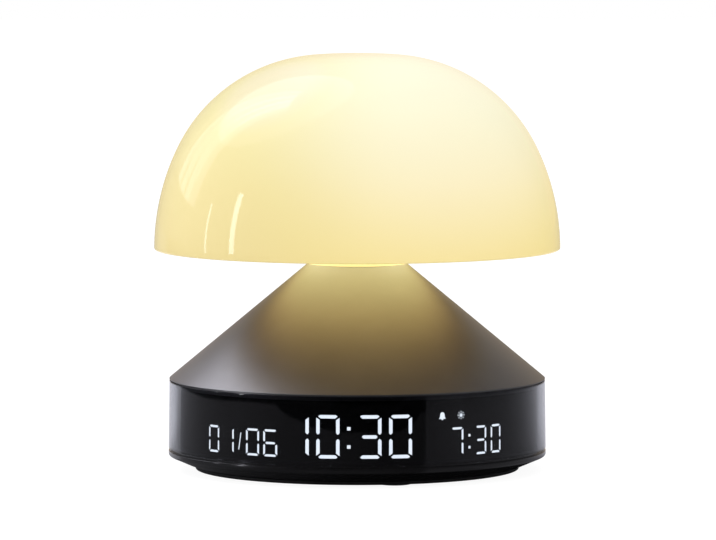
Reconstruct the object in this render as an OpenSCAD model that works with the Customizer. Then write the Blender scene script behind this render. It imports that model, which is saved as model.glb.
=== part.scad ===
// Sunrise alarm clock: an opal lamp dome that is pressed to switch it, on a dark metal-look
// cone, over a round base with a curved LED display. Millimetres, +Z up, front towards -Y,
// origin at the centre of the plane that the foot pads stand on.

/* [Dome] */
// Outer radius of the dome at its rim
dome_r = 69; // [67:0.5:72]
// Height of the dome above its rim
dome_h = 66.5; // [62:0.5:70]
// Wall thickness of the dome
dome_wall = 2.2; // [1.8:0.1:2.8]
// Radius of the nearly flat crown
crown_r = 210; // [180:5:240]
// Turn of the steep arc above the rim, in degrees
side_turn = 26; // [23:1:29]
// Turn of the crown arc, in degrees
crown_turn = 4; // [3:0.5:5]
// Rounding of the rim's outer edge
rim_round = 0.8; // [0.4:0.1:1.2]
// Height of the underside disc above the rim
floor_recess = 3.2; // [2.8:0.1:4]
// Thickness of the underside disc
floor_t = 2; // [1.6:0.1:2.6]
// Width of the rib in the dome that the disc is bonded to
rib_w = 1.2; // [0.9:0.1:1.6]

/* [Cone] */
// Height of the cone's sloping face
cone_h = 38.7; // [37:0.1:41]
// Radius of the cone at its top
cone_top_r = 16.9; // [16:0.1:18]
// Wall thickness of the cone
cone_wall = 2; // [1.6:0.1:2.4]
// Height of the upright lip at the cone's edge
lip_h = 0.85; // [0.6:0.05:1.2]
// Height of the dome's rim above the top of the cone
rim_rise = 4.8; // [4.4:0.1:5.6]

/* [Base] */
// Radius of the base at the top of its wall
body_r = 63.9; // [63:0.1:65]
// How much the wall's radius grows towards the bottom
wall_draft = 0.3; // [0:0.05:0.5]
// Height of the window and the rear panel
wall_h = 22.55; // [22:0.05:24]
// Wall thickness of the window and the rear panel
wall_t = 2; // [1.8:0.1:2.2]
// Bevel of the wall's outer edges
wall_bevel = 0.3; // [0.1:0.05:0.4]
// Half the angle that the window covers, in degrees
window_half = 105; // [100:1:115]
// Width of the joint between the window and the rear panel
window_joint = 0.2; // [0.1:0.05:0.4]
// Gap seen between the window and the cone's lip
seam_gap = 0.55; // [0.4:0.05:0.8]
// Height of the shadow groove under the window
groove_h = 0.75; // [0.5:0.05:1]
// Depth of the groove and of the seam
groove_d = 0.8; // [0.6:0.05:0.9]
// Height of the tray's upright rim
tray_rim_h = 1.125; // [0.9:0.005:1.6]
// Radius of the tray's rounded corner
corner_r = 0.8; // [0.6:0.1:1.2]
// Slope of the tray's underside, in degrees
under_slope = 23; // [21:0.5:24]
// Thickness of the tray's floor
tray_floor_t = 2; // [1.6:0.1:2.4]
// How far the bottom cover's edge lies in from the wall
cover_inset = 8.9; // [8.5:0.1:10]
// Thickness of the bottom cover
cover_t = 1.5; // [1.4:0.1:1.8]
// How far the cover stands below the tray
cover_step = 1.1; // [0.9:0.05:1.2]

/* [Feet] */
// Radius of a foot pad
pad_r = 5.5; // [4.5:0.1:6]
// Height of a foot pad
pad_h = 1.1; // [1:0.05:1.2]
// How far a pad stands below the cover
pad_proud = 0.5; // [0.4:0.05:0.6]
// How far the pads' centres lie in from the cover's edge
pad_inset = 7; // [6.4:0.1:9]

/* [Head] */
// Travel of the head when it is pressed
head_travel = 1.2; // [0.8:0.1:1.4]
// Radius of the stem
stem_r = 6; // [5.8:0.1:6.2]
// Wall thickness of the stem
stem_wall = 1.5; // [1.3:0.1:1.7]
// Radius of the stem's flange
flange_r = 14; // [13.4:0.1:15]
// Thickness of the stem's flange
flange_t = 2.4; // [2:0.1:2.6]
// Radius of the heat plate
plate_r = 26; // [25:0.5:30]
// Thickness of the heat plate
plate_t = 1.5; // [1.2:0.1:2]
// Radius of the lamp's LED board
led_board_r = 24; // [22:0.5:25]

/* [Neck] */
// Radius of the bush's barrel
barrel_r = 12; // [11.8:0.1:12.4]
// Height of the bush above the cone
bush_rise = 3.5; // [3.2:0.1:3.6]
// Length of the bush's guide bore
guide_l = 6; // [5:0.5:7]
// Depth of the spring's pocket in the bush
pocket_l = 8.2; // [7.5:0.1:9]
// Mean radius of the spring's coil
coil_r = 8; // [7.8:0.1:8.2]
// Radius of the spring's wire
wire_r = 0.4; // [0.3:0.05:0.5]
// Turns of the spring
coil_turns = 4.5; // [3.5:0.5:5.5]

/* [Display] */
// Width of a large digit
time_w = 7.7; // [7.4:0.1:8.1]
// Height of a large digit
time_h = 14.45; // [14:0.05:15.2]
// Stroke of a large digit
time_stroke = 1.12; // [1:0.02:1.4]
// Angle between large digits, in degrees
time_pitch = 9.6; // [9.4:0.1:10]
// Width of a digit of the date
date_w = 5.2; // [4.8:0.1:5.5]
// Height of a digit of the date
date_h = 9; // [8.6:0.1:9.6]
// Angle between digits of the date, in degrees
date_pitch = 6.37; // [6.2:0.01:6.6]
// Width of a digit of the alarm time
alarm_w = 4.8; // [4.5:0.1:5.4]
// Height of a digit of the alarm time
alarm_h = 9.5; // [9:0.1:9.8]
// Angle between digits of the alarm time, in degrees
alarm_pitch = 6.47; // [6.2:0.01:6.8]
// Stroke of a small digit
small_stroke = 0.7; // [0.6:0.02:0.9]
// Height of the digits' lower edge above the window's
digit_rise = 2.35; // [2:0.05:2.6]
// Height of the bell and the sun above the digits' lower edge
sign_rise = 13.5; // [13.2:0.1:14]
// Half the angle of the display's board, in degrees
board_half = 57; // [56:1:60]

/* [Rear controls] */
// Depth of the recess at its middle
recess_depth = 5.4; // [5.1:0.1:5.7]
// Thickness of the recess's flat face
flat_t = 1.8; // [1.5:0.1:2]
// Height of the recess
recess_h = 17.5; // [17:0.1:17.8]
// Radius of a push-button
button_r = 3.2; // [3:0.1:3.3]
// Distance between push-buttons
button_pitch = 9; // [8.8:0.1:9.2]
// Travel of a push-button
button_travel = 0.6; // [0.4:0.1:0.7]
// How far a button stands out of the recess's face
button_proud = 1; // [0.9:0.1:1.3]
// Travel of the alarm switch's knob
slide_travel = 3; // [2:0.1:3.2]

/* [Inside] */
// Thickness of the circuit boards
board_t = 1.6; // [1.2:0.1:1.6]
// Height of the main board above the tray's floor
board_rise = 5.8; // [5.5:0.1:6.2]
// How far the case posts' centres lie in from the wall
post_inset = 19.9; // [19.5:0.1:20.3]
// Radius of a case post
post_r = 4.8; // [4.6:0.1:4.9]
// Radius of the battery cell
cell_r = 9.2; // [9:0.1:9.3]
// Length of the battery cell
cell_l = 65; // [64:0.5:66]
// Width of the loudspeaker
speaker_w = 28; // [26:0.5:28]
// Height of the loudspeaker
speaker_h = 16; // [15:0.5:16.5]

/* [Hidden] */
$fn = 96;
EPS = 0.01;
FIT = 0.05;        // running or seated fit, on the radius
CLEAR = 0.3;       // clear of a neighbour that it doesn't bear on
DRILL = 0.15;      // play round a button or a locating edge

// Heights, from the table upwards
cover_z = pad_proud;
tray_z = cover_z + cover_step;
tray_recess = cover_t - cover_step;
floor_z = tray_z + tray_recess;
deck_z = floor_z + tray_floor_t;
body_r0 = body_r + wall_draft;
cover_r = body_r - cover_inset;
pad_ring_r = cover_r - pad_inset;
post_ring_r = body_r - post_inset;
post_xy = post_ring_r * cos(45);
flat_y = body_r - recess_depth;
PART_GAP = 1.5;    // between pieces that stand side by side inside
tray_under_r = cover_r + 0.5;
corner_turn = 90 - under_slope;
under_in = tray_under_r + (deck_z - tray_z - tray_floor_t / cos(under_slope)) / tan(under_slope);
band_h = corner_r * sin(corner_turn)
    + (body_r0 - corner_r * (1 - cos(corner_turn)) - tray_under_r) * tan(under_slope);
band_z = tray_z + band_h;
rim_top_z = band_z + tray_rim_h;
wall_z0 = rim_top_z + groove_h;
wall_z1 = wall_z0 + wall_h;
lip_z = wall_z1 + seam_gap;
slope_z = lip_z + lip_h;
cone_top_z = slope_z + cone_h;
rim_z = cone_top_z + rim_rise;

// Rings that centre the wall on the tray and under the cone
wall_in = body_r - wall_t;
ledge_r = body_r - groove_d;
ring_t = 1.6;
ring_h = 1.05;
ring_out = wall_in - CLEAR;
ring_in = ring_out - ring_t;
ring_z0 = wall_z0 + ring_h;
ring_z1 = wall_z1 - ring_h;

// Cone
cone_fall = cone_h / (body_r - cone_top_r);
cone_drop = cone_wall * sqrt(1 + pow(cone_fall, 2));
function cone_z(r) = slope_z + (body_r - r) * cone_fall;
collar_in = barrel_r + FIT;
collar_out = collar_in + 1.8;
bush_top_r = cone_top_r - bush_rise / cone_fall;
bush_z1 = cone_top_z + bush_rise;
guide_z1 = bush_z1 - pocket_l;
bush_z0 = guide_z1 - guide_l;
snap_h = 1.9;
collar_z0 = bush_z0 + snap_h + FIT;

// Dome: three tangent arcs, upright at the rim and level at the pole
crown_start = 90 - crown_turn;
reach_x = dome_r - crown_r * cos(crown_start);
reach_z = dome_h - crown_r * (1 - sin(crown_start));
arc_det = (1 - cos(side_turn)) * (sin(crown_start) - sin(side_turn))
    - (cos(side_turn) - cos(crown_start)) * sin(side_turn);
side_r = (reach_x * (sin(crown_start) - sin(side_turn))
    - reach_z * (cos(side_turn) - cos(crown_start))) / arc_det;
shoulder_r = ((1 - cos(side_turn)) * reach_z - sin(side_turn) * reach_x) / arc_det;
side_c = [dome_r - side_r, rim_z];
shoulder_c = side_c + (side_r - shoulder_r) * [cos(side_turn), sin(side_turn)];
crown_c = shoulder_c + (shoulder_r - crown_r) * [cos(crown_start), sin(crown_start)];
function dome_point(a, in) =
    a <= side_turn ? side_c + (side_r - in) * [cos(a), sin(a)]
    : a <= crown_start ? shoulder_c + (shoulder_r - in) * [cos(a), sin(a)]
    : crown_c + (crown_r - in) * [cos(a), sin(a)];
function dome_arc(first, in) = [
    first,
    for (a = [2 : 2 : side_turn - 1]) a,
    for (a = [side_turn : 2.5 : crown_start - 1]) a,
    crown_start,
    90 - crown_turn / 2
];
function dome_inner_r(z) = side_c.x + sqrt(pow(side_r - dome_wall, 2) - pow(z - rim_z, 2));

// Head
disc_z0 = rim_z + floor_recess;
disc_z1 = disc_z0 + floor_t;
disc_r = dome_inner_r(disc_z1) - CLEAR;
flange_z0 = disc_z0 - flange_t;
plate_z1 = disc_z1 + plate_t;
led_board_z1 = plate_z1 + board_t;
stem_in = stem_r - stem_wall;
lead_r = 1.1;
clip_t = 1;
clip_z1 = bush_z0 - FIT;
clip_z0 = clip_z1 - clip_t;
clip_groove = 0.6;
clip_r = stem_r + 2.2;
slot_h = 2 * lead_r + head_travel + 2 * CLEAR;
slot_w = 2 * lead_r + 1.8;
slot_z1 = clip_z0 - 1;
slot_z0 = slot_z1 - slot_h;
lead_exit_z = slot_z0 + CLEAR + lead_r;
stem_z0 = slot_z0 - 1.6;
stem_flat = stem_r - 0.8;
stem_top = led_board_z1 - 0.4;
head_screw_ring = 10.2;
head_screws_n = 3;
screw_head_r = 2.3;
screw_head_h = 1.6;
screw_r = 1.25;
pilot_r = screw_r + FIT;
lead_hole_r = 3;
led_size = [3.5, 2.8, 0.8];
outer_leds = 12;
inner_leds = 6;

// Switch under the stem
plunger_r = 1.7;
plunger_play = 0.1;
switch_w = 6;
switch_h = 3.5;
switch_gap = head_travel + 0.3;
switch_z1 = stem_z0 - switch_gap;
switch_z0 = switch_z1 - switch_h;
bridge_z1 = switch_z0 - board_t;
bridge_t = 2;
bridge_z0 = bridge_z1 - bridge_t;
bridge_x = 18.5;
bridge_w = 12;
hanger_r = 3;
switch_board = [14, bridge_w, board_t];

// Case posts and screws
post_split = deck_z + 16;
post_step_z = deck_z + 10;
case_screw_r = 1.5;
case_head_r = 2.8;
case_head_h = 2;
case_screw_l = 18;
post_bore_r = case_head_r + CLEAR;
boss_r = 3.6;
cover_screw_r = 1.25;
cover_head_r = 2.5;
cover_screw_l = 5.2;
cover_screw_ring = cover_r - 5;
cover_screw_angles = [90, 210, 330];
cover_boss_r = 2.8;
cover_boss_h = 3;
small_screw_l = 5;
small_head_r = 2;
small_head_h = 1.3;
small_screw_r = 1;
standoff_r = 2.6;

// Display, seen through the window: a mark's angle is counted from the front, to the right
frame_out = wall_in - 0.7;
frame_t = 2.9;
frame_in = frame_out - frame_t;
frame_half = window_half - 2;
frame_rail = 0.8;
led_gap = 0.6;
lit_r = frame_out - 0.1;
lit_depth = 1.2;
lit_play = 0.03;
time_at = -2.6;
date_at = -39.1;
alarm_at = 37.07;
time_mid = 6.46;
date_mid = 4.88;
alarm_mid = 4.57;
bell_at = 27.2;
sun_at = 33.9;
digit_z = wall_z0 + digit_rise;
sign_z = digit_z + sign_rise;
// Shares of a stroke: the corner cut, and the gap between bars
digit_cut = 0.6;
digit_gap = 0.64;
display_board_t = 0.8;
led_chip = [0.8, 1.6, led_gap - 0.15];
led_rows = [0.25, 0.75];
led_columns = 23;

// Rear controls
shelf_play = 0.1;
shelf_z0 = ring_z0 + shelf_play;
shelf_z1 = ring_z1 - shelf_play;
recess_z0 = (shelf_z0 + shelf_z1) / 2 - recess_h / 2 - 0.25;
recess_z1 = recess_z0 + recess_h;
back_y = flat_y - flat_t;
buttons = 5;
button_z = recess_z1 - 6;
button_flange = 0.5;
button_flange_t = 1;
button_stub_r = 2;
button_stub_l = 1;
tact_h = 2.5;
tact_gap = 1;
cap_y0 = back_y - 0.2 - button_flange_t;
stub_y0 = cap_y0 - button_stub_l;
tact_y1 = stub_y0 - tact_gap;
tact_y0 = tact_y1 - tact_h;
button_board_y0 = tact_y0 - board_t;
button_board_z0 = button_z - 5;
button_board_z1 = button_z + 4.2;
board_boss_r = 2.2;
board_boss_x = (buttons - 1) / 2 * button_pitch + button_r + button_flange + CLEAR + board_boss_r;
button_board_w = 2 * (board_boss_x + small_head_r + 1);

// Battery, in front of the main board
holder_wall = 1.5;
holder_floor = 1.6;
contact_t = 0.5;
cell_z = deck_z + holder_floor + cell_r + DRILL;
holder_x = cell_l / 2 + contact_t + holder_wall;
holder_y = cell_r + DRILL + holder_wall;
cell_y = holder_y + PART_GAP + post_r - post_xy;
board_y0 = cell_y + holder_y + PART_GAP;
board_hole_y0 = board_y0 + 4;
ear_x = 14;
ear_r = 3;
ear_t = 2;
ear_boss_h = small_screw_l - ear_t;
ear_y = cell_y - holder_y - ear_r;

// Main board, its sockets and the alarm switch
board_z0 = deck_z + board_rise;
board_z1 = board_z0 + board_t;
board_w = 2 * (post_xy - post_r - 0.8);
board_y1 = flat_y - 4.5;
board_hole_x = board_w / 2 - 3.2;
board_hole_y1 = board_y1 - 12;
plug_h = 4.1;
// Parts on the main board, each with its corner, width, depth and height
chips = [
    [-6, board_y0 + 9.6, 9, 9, 1.2], [-12.5, board_y0 + 13.6, 5, 6, 1.5], [-16, board_y0 + 27.6, 6, 6, 3],
    [14, board_y0 + 13.6, 4, 5, 1.2]
];
coil = [-3, board_y0 + 29.6, 2.5, 5.4];
// Plugs of the lamp, the loudspeaker, the head's switch and the battery
plugs = [
    [6, board_y0 + 21.6, 6, 4], [board_w / 2 - 10.5, board_hole_y1 - 6, 5, 4],
    [-10, board_y0 + 20.6, 4, 4], [3 - board_w / 2, board_y0 + 7.1, 4, 5]
];
usb_w = 8.94;
usb_h = 3.26;
usb_l = 7.35;
usb_wall = 0.3;
usb_z = board_z1 + usb_h / 2;
usb_y1 = flat_y - 0.2;
slider_x = -15.5;
slider_w = 9;
slider_h = 3.4;
slider_y1 = back_y - 1;
slider_d = 4;
knob_w = 2.2;
knob_h = 1.8;
knob_proud = 1.1;

// Flat ribbons
ribbon_w = 8;
ribbon_t = 0.3;
ribbon_x = 4;
display_ribbon_y = -sqrt(pow(frame_in - display_board_t, 2) - pow(ribbon_w / 2, 2));

// Loudspeaker
speaker_d = 4.6;
speaker_front = sqrt(pow(wall_in - CLEAR, 2) - pow(speaker_w / 2 + 1.5, 2));
speaker_back = speaker_front - speaker_d;
pocket_wall = 1.2;
pocket_u = speaker_w / 2 + DRILL + pocket_wall;
speaker_dir = atan2(button_board_y0, button_board_w / 2) - atan2(pocket_u, speaker_back - 1) - 0.8;
speaker_z = (shelf_z0 + shelf_z1) / 2;
magnet_r = 6.5;
magnet_h = 2.4;
grille_r = 0.75;
grille_pitch = 3;

// ---- Shared shapes ----

module around(n, r, first = 0) {
    for (i = [0 : n - 1]) {
        rotate([0, 0, first + 360 * i / n]) translate([r, 0, 0]) children();
    }
}

// Children drawn in a flat plane that touches the wall: x to the right, y up, z outwards
module on_wall(deg, r, z) {
    rotate([0, 0, deg]) translate([0, -r, z]) rotate([90, 0, 0]) children();
}

// A closed ring sector between two radii, centred on the front
module wall_sector(half, r0, r1, z0, z1) {
    rotate([0, 0, 270 - half]) rotate_extrude(angle = 2 * half)
        polygon([[r0, z0], [r1, z0], [r1, z1], [r0, z1]]);
}

// Points towards +Y from the plane y
module towards_back(x, y, z) {
    translate([x, y, z]) rotate([-90, 0, 0]) children();
}

module pan_screw(r, l, head_r, head_h) {
    translate([0, 0, -l]) cylinder(r = r, h = l + EPS);
    cylinder(r = head_r, h = head_h);
}

function unit(v) = v / norm(v);
function along(p, i) = unit(p[min(i + 1, len(p) - 1)] - p[max(i - 1, 0)]);
function curve_point(a, b, c, d, t) =
    0.5 * (2 * b + (c - a) * t + (2 * a - 5 * b + 4 * c - d) * t * t
    + (3 * b - a - 3 * c + d) * t * t * t);
function smooth(p, n) = [
    for (i = [0 : len(p) - 2])
        for (k = [0 : n - 1])
            curve_point(p[max(i - 1, 0)], p[i], p[i + 1], p[min(i + 2, len(p) - 1)], k / n),
    p[len(p) - 1]
];

// A flat strip of thickness t on the left of a path, and the same as a ribbon across x
function left(v) = [-v.y, v.x];
function miter(p, i) =
    let (
        before = left(unit(i > 0 ? p[i] - p[i - 1] : p[1] - p[0])),
        after = i < len(p) - 1 ? left(unit(p[i + 1] - p[i])) : before
    ) (before + after) / (1 + before * after);
function strip(p, t) = concat(p, [for (i = [len(p) - 1 : -1 : 0]) p[i] + t * miter(p, i)]);

module ribbon(x, points) {
    translate([x, 0, 0]) rotate([90, 0, 90]) linear_extrude(ribbon_w) polygon(strip(points, ribbon_t));
}

// A round wire along points; side is a direction that the points never run along
module wire(points, r, side) {
    n = 8;
    rings = [
        for (i = [0 : len(points) - 1])
            let (t = along(points, i), u = unit(cross(t, side)), v = cross(t, u))
                for (k = [0 : n - 1])
                    points[i] + r * (cos(360 * k / n) * u + sin(360 * k / n) * v)
    ];
    last = (len(points) - 1) * n;
    polyhedron(
        points = rings,
        faces = [
            [for (k = [0 : n - 1]) k],
            [for (k = [n - 1 : -1 : 0]) last + k],
            for (i = [0 : len(points) - 2])
                for (k = [0 : n - 1])
                    let (a = i * n + k, b = i * n + (k + 1) % n)
                        [a, a + n, b + n, b]
        ]
    );
}

// ---- Head: the part that is pressed ----

module dome_shade() {
    outer = [for (a = dome_arc(asin(rim_round / side_r), 0)) dome_point(a, 0)];
    inner = [for (a = dome_arc(0, dome_wall)) dome_point(a, dome_wall)];
    rim = [
        for (a = [0 : 22.5 : 67.5])
            [dome_r - rim_round + rim_round * sin(a), rim_z + rim_round * (1 - cos(a))]
    ];
    count = len(inner);
    color([0.98, 0.94, 0.76]) rotate_extrude() union() {
        polygon(concat(
            rim, outer, [[0, rim_z + dome_h], [0, rim_z + dome_h - dome_wall]],
            [for (i = [count - 1 : -1 : 0]) inner[i]]
        ));
        polygon([
            [dome_inner_r(disc_z1) - rib_w, disc_z1], [dome_inner_r(disc_z1) + 0.6, disc_z1],
            [dome_inner_r(disc_z1) + 0.6, disc_z1 + 1], [dome_inner_r(disc_z1) - rib_w, disc_z1 + 1]
        ]);
    }
}

module shade_disc() {
    color([0.97, 0.94, 0.82]) difference() {
        translate([0, 0, disc_z0]) cylinder(r = disc_r, h = floor_t);
        translate([0, 0, disc_z0 - 1]) cylinder(r = stem_r + FIT, h = floor_t + 2);
        around(head_screws_n, head_screw_ring, 30)
            translate([0, 0, disc_z0 - 1]) cylinder(r = pilot_r, h = floor_t + 2);
    }
}

module head_stem() {
    color([0.9, 0.9, 0.88]) difference() {
        union() {
            translate([0, 0, stem_z0]) cylinder(r = stem_r, h = stem_top - stem_z0);
            translate([0, 0, flange_z0]) cylinder(r = flange_r, h = flange_t);
        }
        translate([0, 0, slot_z0]) cylinder(r = stem_in, h = stem_top);
        // opening for the lead
        translate([-slot_w / 2, 0, slot_z0]) cube([slot_w, stem_r + 1, slot_h]);
        // flat that keeps the head from turning
        translate([-stem_r, -stem_r - 1, stem_z0 - 1])
            cube([2 * stem_r, stem_r + 1 - stem_flat, flange_z0 - 1 - stem_z0]);
        // groove for the clip
        difference() {
            translate([0, 0, clip_z0 - FIT]) cylinder(r = stem_r + 1, h = clip_t + 2 * FIT);
            translate([0, 0, clip_z0 - 1]) cylinder(r = stem_r - clip_groove, h = clip_t + 2);
        }
        around(head_screws_n, head_screw_ring, 30)
            translate([0, 0, flange_z0 + 0.6]) cylinder(r = pilot_r, h = flange_t);
    }
}

module stem_clip() {
    color([0.6, 0.6, 0.62]) translate([0, 0, clip_z0]) difference() {
        cylinder(r = clip_r, h = clip_t);
        translate([0, 0, -1]) cylinder(r = stem_r - clip_groove + FIT, h = clip_t + 2);
        translate([-2, -clip_r - 1, -1]) cube([4, clip_r, clip_t + 2]);
    }
}

module heat_plate() {
    color([0.8, 0.81, 0.82]) difference() {
        translate([0, 0, disc_z1]) cylinder(r = plate_r, h = plate_t);
        translate([0, 0, disc_z1 - 1]) cylinder(r = stem_r + FIT, h = plate_t + 2);
        around(head_screws_n, head_screw_ring, 30)
            translate([0, 0, disc_z1 - 1]) cylinder(r = pilot_r, h = plate_t + 2);
    }
}

module lamp_led_board() {
    color([0.94, 0.94, 0.92]) difference() {
        translate([0, 0, plate_z1]) cylinder(r = led_board_r, h = board_t);
        translate([0, 0, plate_z1 - 1]) cylinder(r = stem_r + FIT, h = board_t + 2);
        around(head_screws_n, head_screw_ring, 30)
            translate([0, 0, plate_z1 - 1]) cylinder(r = pilot_r, h = board_t + 2);
    }
}

module lamp_leds() {
    color([1, 0.9, 0.5]) translate([0, 0, led_board_z1 + led_size.z / 2]) {
        around(outer_leds, led_board_r - 3.5) cube(led_size, center = true);
        around(inner_leds, led_board_r - 9) cube(led_size, center = true);
    }
}

module head_screws() {
    color([0.7, 0.7, 0.72]) around(head_screws_n, head_screw_ring, 30)
        translate([0, 0, led_board_z1])
            pan_screw(screw_r, led_board_z1 - flange_z0 - 1, screw_head_r, screw_head_h);
}

module switch_plunger() {
    color([0.15, 0.15, 0.16])
        translate([0, 0, switch_z1 - 1]) cylinder(r = plunger_r, h = switch_gap + 1);
}

module head_lead() {
    top = led_board_z1 + lead_r;
    exit_z = lead_exit_z;
    plug_x = plugs[0][0] + 3;
    plug_y = plugs[0][1] + 2;
    rise = exit_z - board_z1;
    color([0.93, 0.93, 0.9]) wire(smooth([
        [plug_x, plug_y, board_z1 + plug_h + 0.1], [plug_x, plug_y, board_z1 + 2 * plug_h],
        [0.75 * plug_x, plug_y, exit_z - 0.62 * rise], [0.33 * plug_x, 0.9 * plug_y, exit_z - 0.38 * rise],
        [0.1 * plug_x, 0.68 * plug_y, exit_z - 0.15 * rise], [0, 9, exit_z - 1],
        [0, 5, exit_z], [0, 1.5, exit_z + 3],
        [0, 0, exit_z + 9], [0, 0, disc_z0 - 4], [0, 0, disc_z1], [0, 0.6, top + 0.6],
        [0, 4, top + 2.4], [0, 8, top + 1.2], [0, 10, top]
    ], 3), lead_r, [1, 0, 0]);
}

// ---- Neck and cone ----

module neck_bush() {
    color([0.97, 0.94, 0.84]) difference() {
        rotate_extrude() polygon([
            [stem_r - 1, bush_z0], [barrel_r + 0.7, bush_z0], [barrel_r + 0.7, bush_z0 + snap_h],
            [barrel_r, bush_z0 + snap_h], [barrel_r, cone_top_z], [cone_top_r, cone_top_z],
            [bush_top_r, bush_z1], [coil_r + 1.6, bush_z1], [coil_r + 1.6, guide_z1],
            [stem_r - 1, guide_z1]
        ]);
        // bore with a flat that matches the stem's
        intersection() {
            translate([0, 0, bush_z0 - 1]) cylinder(r = stem_r + FIT, h = guide_l + 2);
            translate([-2 * stem_r, -stem_flat - FIT, bush_z0 - 2])
                cube([4 * stem_r, 4 * stem_r, guide_l + 4]);
        }
    }
}

module neck_spring() {
    steps = 16;
    low = guide_z1 + wire_r + FIT;
    rise = flange_z0 - guide_z1 - 2 * (wire_r + FIT);
    count = round(coil_turns * steps);
    color([0.75, 0.76, 0.78]) wire([
        for (i = [0 : count])
            [coil_r * cos(360 * i / steps), coil_r * sin(360 * i / steps), low + rise * i / count]
    ], wire_r, [0, 0, 1]);
}

module cone_core() {
    rotate_extrude() polygon([
        [0, post_split], [ring_in + 0.5, post_split], [ring_in + 0.5, cone_z(ring_in + 0.5) - cone_drop / 2],
        [collar_out, cone_z(collar_out) - cone_drop / 2], [0, cone_z(collar_out) - cone_drop / 2]
    ]);
}

module cone_shell() {
    edge = 0.15;
    color([0.24, 0.23, 0.23]) difference() {
        union() {
            rotate_extrude() polygon([
                [ledge_r, lip_z], [body_r - edge, lip_z], [body_r, lip_z + edge],
                [body_r, slope_z - edge], [body_r - edge, cone_z(body_r - edge)],
                [cone_top_r, cone_top_z], [collar_in, cone_top_z], [collar_in, collar_z0],
                [collar_out, collar_z0], [collar_out, cone_z(collar_out) - cone_drop],
                [ring_in, cone_z(ring_in) - cone_drop], [ring_in, ring_z1], [ring_out, ring_z1],
                [ring_out, wall_z1], [ledge_r, wall_z1]
            ]);
            intersection() {
                union() {
                    around(4, post_ring_r, 45)
                        translate([0, 0, post_split]) cylinder(r = boss_r, h = cone_top_z);
                    around(2, bridge_x)
                        translate([0, 0, bridge_z1]) cylinder(r = hanger_r, h = cone_top_z);
                }
                cone_core();
            }
        }
        around(4, post_ring_r, 45) translate([0, 0, post_split - 1])
            cylinder(r = case_screw_r + FIT, h = case_screw_l - 3);
        around(2, bridge_x) translate([0, 0, bridge_z1 - 1])
            cylinder(r = small_screw_r + FIT, h = small_screw_l + 1);
    }
}

module switch_bridge() {
    color([0.2, 0.2, 0.21]) difference() {
        translate([-bridge_x - hanger_r - 1, -bridge_w / 2, bridge_z0])
            cube([2 * (bridge_x + hanger_r + 1), bridge_w, bridge_t]);
        around(2, bridge_x) translate([0, 0, bridge_z0 - 1])
            cylinder(r = small_screw_r + FIT, h = bridge_t + 2);
    }
}

module head_switch_board() {
    color([0.1, 0.35, 0.2]) translate([-switch_board.x / 2, -switch_board.y / 2, bridge_z1])
        cube(switch_board);
}

module switch_lead() {
    thin_r = 0.7;
    z = bridge_z1 + board_t + thin_r;
    plug_x = plugs[2][0] + 2;
    plug_y = plugs[2][1] + 2;
    drop = z - board_z1;
    color([0.93, 0.93, 0.9]) wire(smooth([
        [-5.5, 2.5, z], [-5.5, 5, z], [-5.5, 8, z + 0.6], [-6, 11, z - 2],
        [0.88 * plug_x, 0.72 * plug_y, z - 0.23 * drop], [plug_x, 0.95 * plug_y, z - 0.58 * drop],
        [plug_x, plug_y, z - 0.77 * drop], [plug_x, plug_y, board_z1 + plug_h + 0.05]
    ], 3), thin_r, [1, 0, 0]);
}

module switch_housing() {
    color([0.12, 0.12, 0.13]) difference() {
        translate([-switch_w / 2, -switch_w / 2, switch_z0]) cube([switch_w, switch_w, switch_h]);
        translate([0, 0, switch_z1 - 1 - head_travel - 0.3])
            cylinder(r = plunger_r + plunger_play, h = switch_h);
    }
}

// ---- Wall of the base ----

module wall_profile() {
    polygon([
        [wall_in, wall_z0], [body_r0 - wall_bevel, wall_z0], [body_r0, wall_z0 + wall_bevel],
        [body_r, wall_z1 - wall_bevel], [body_r - wall_bevel, wall_z1], [wall_in, wall_z1]
    ]);
}

window_joint_deg = asin(window_joint / 2 / body_r);

module display_window() {
    half = window_half - window_joint_deg;
    color([0.05, 0.05, 0.06, 0.6]) rotate([0, 0, 270 - half])
        rotate_extrude(angle = 2 * half) wall_profile();
}

module at_speaker() {
    rotate([0, 0, speaker_dir]) translate([0, 0, speaker_z]) rotate([90, 0, 90]) children();
}

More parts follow.
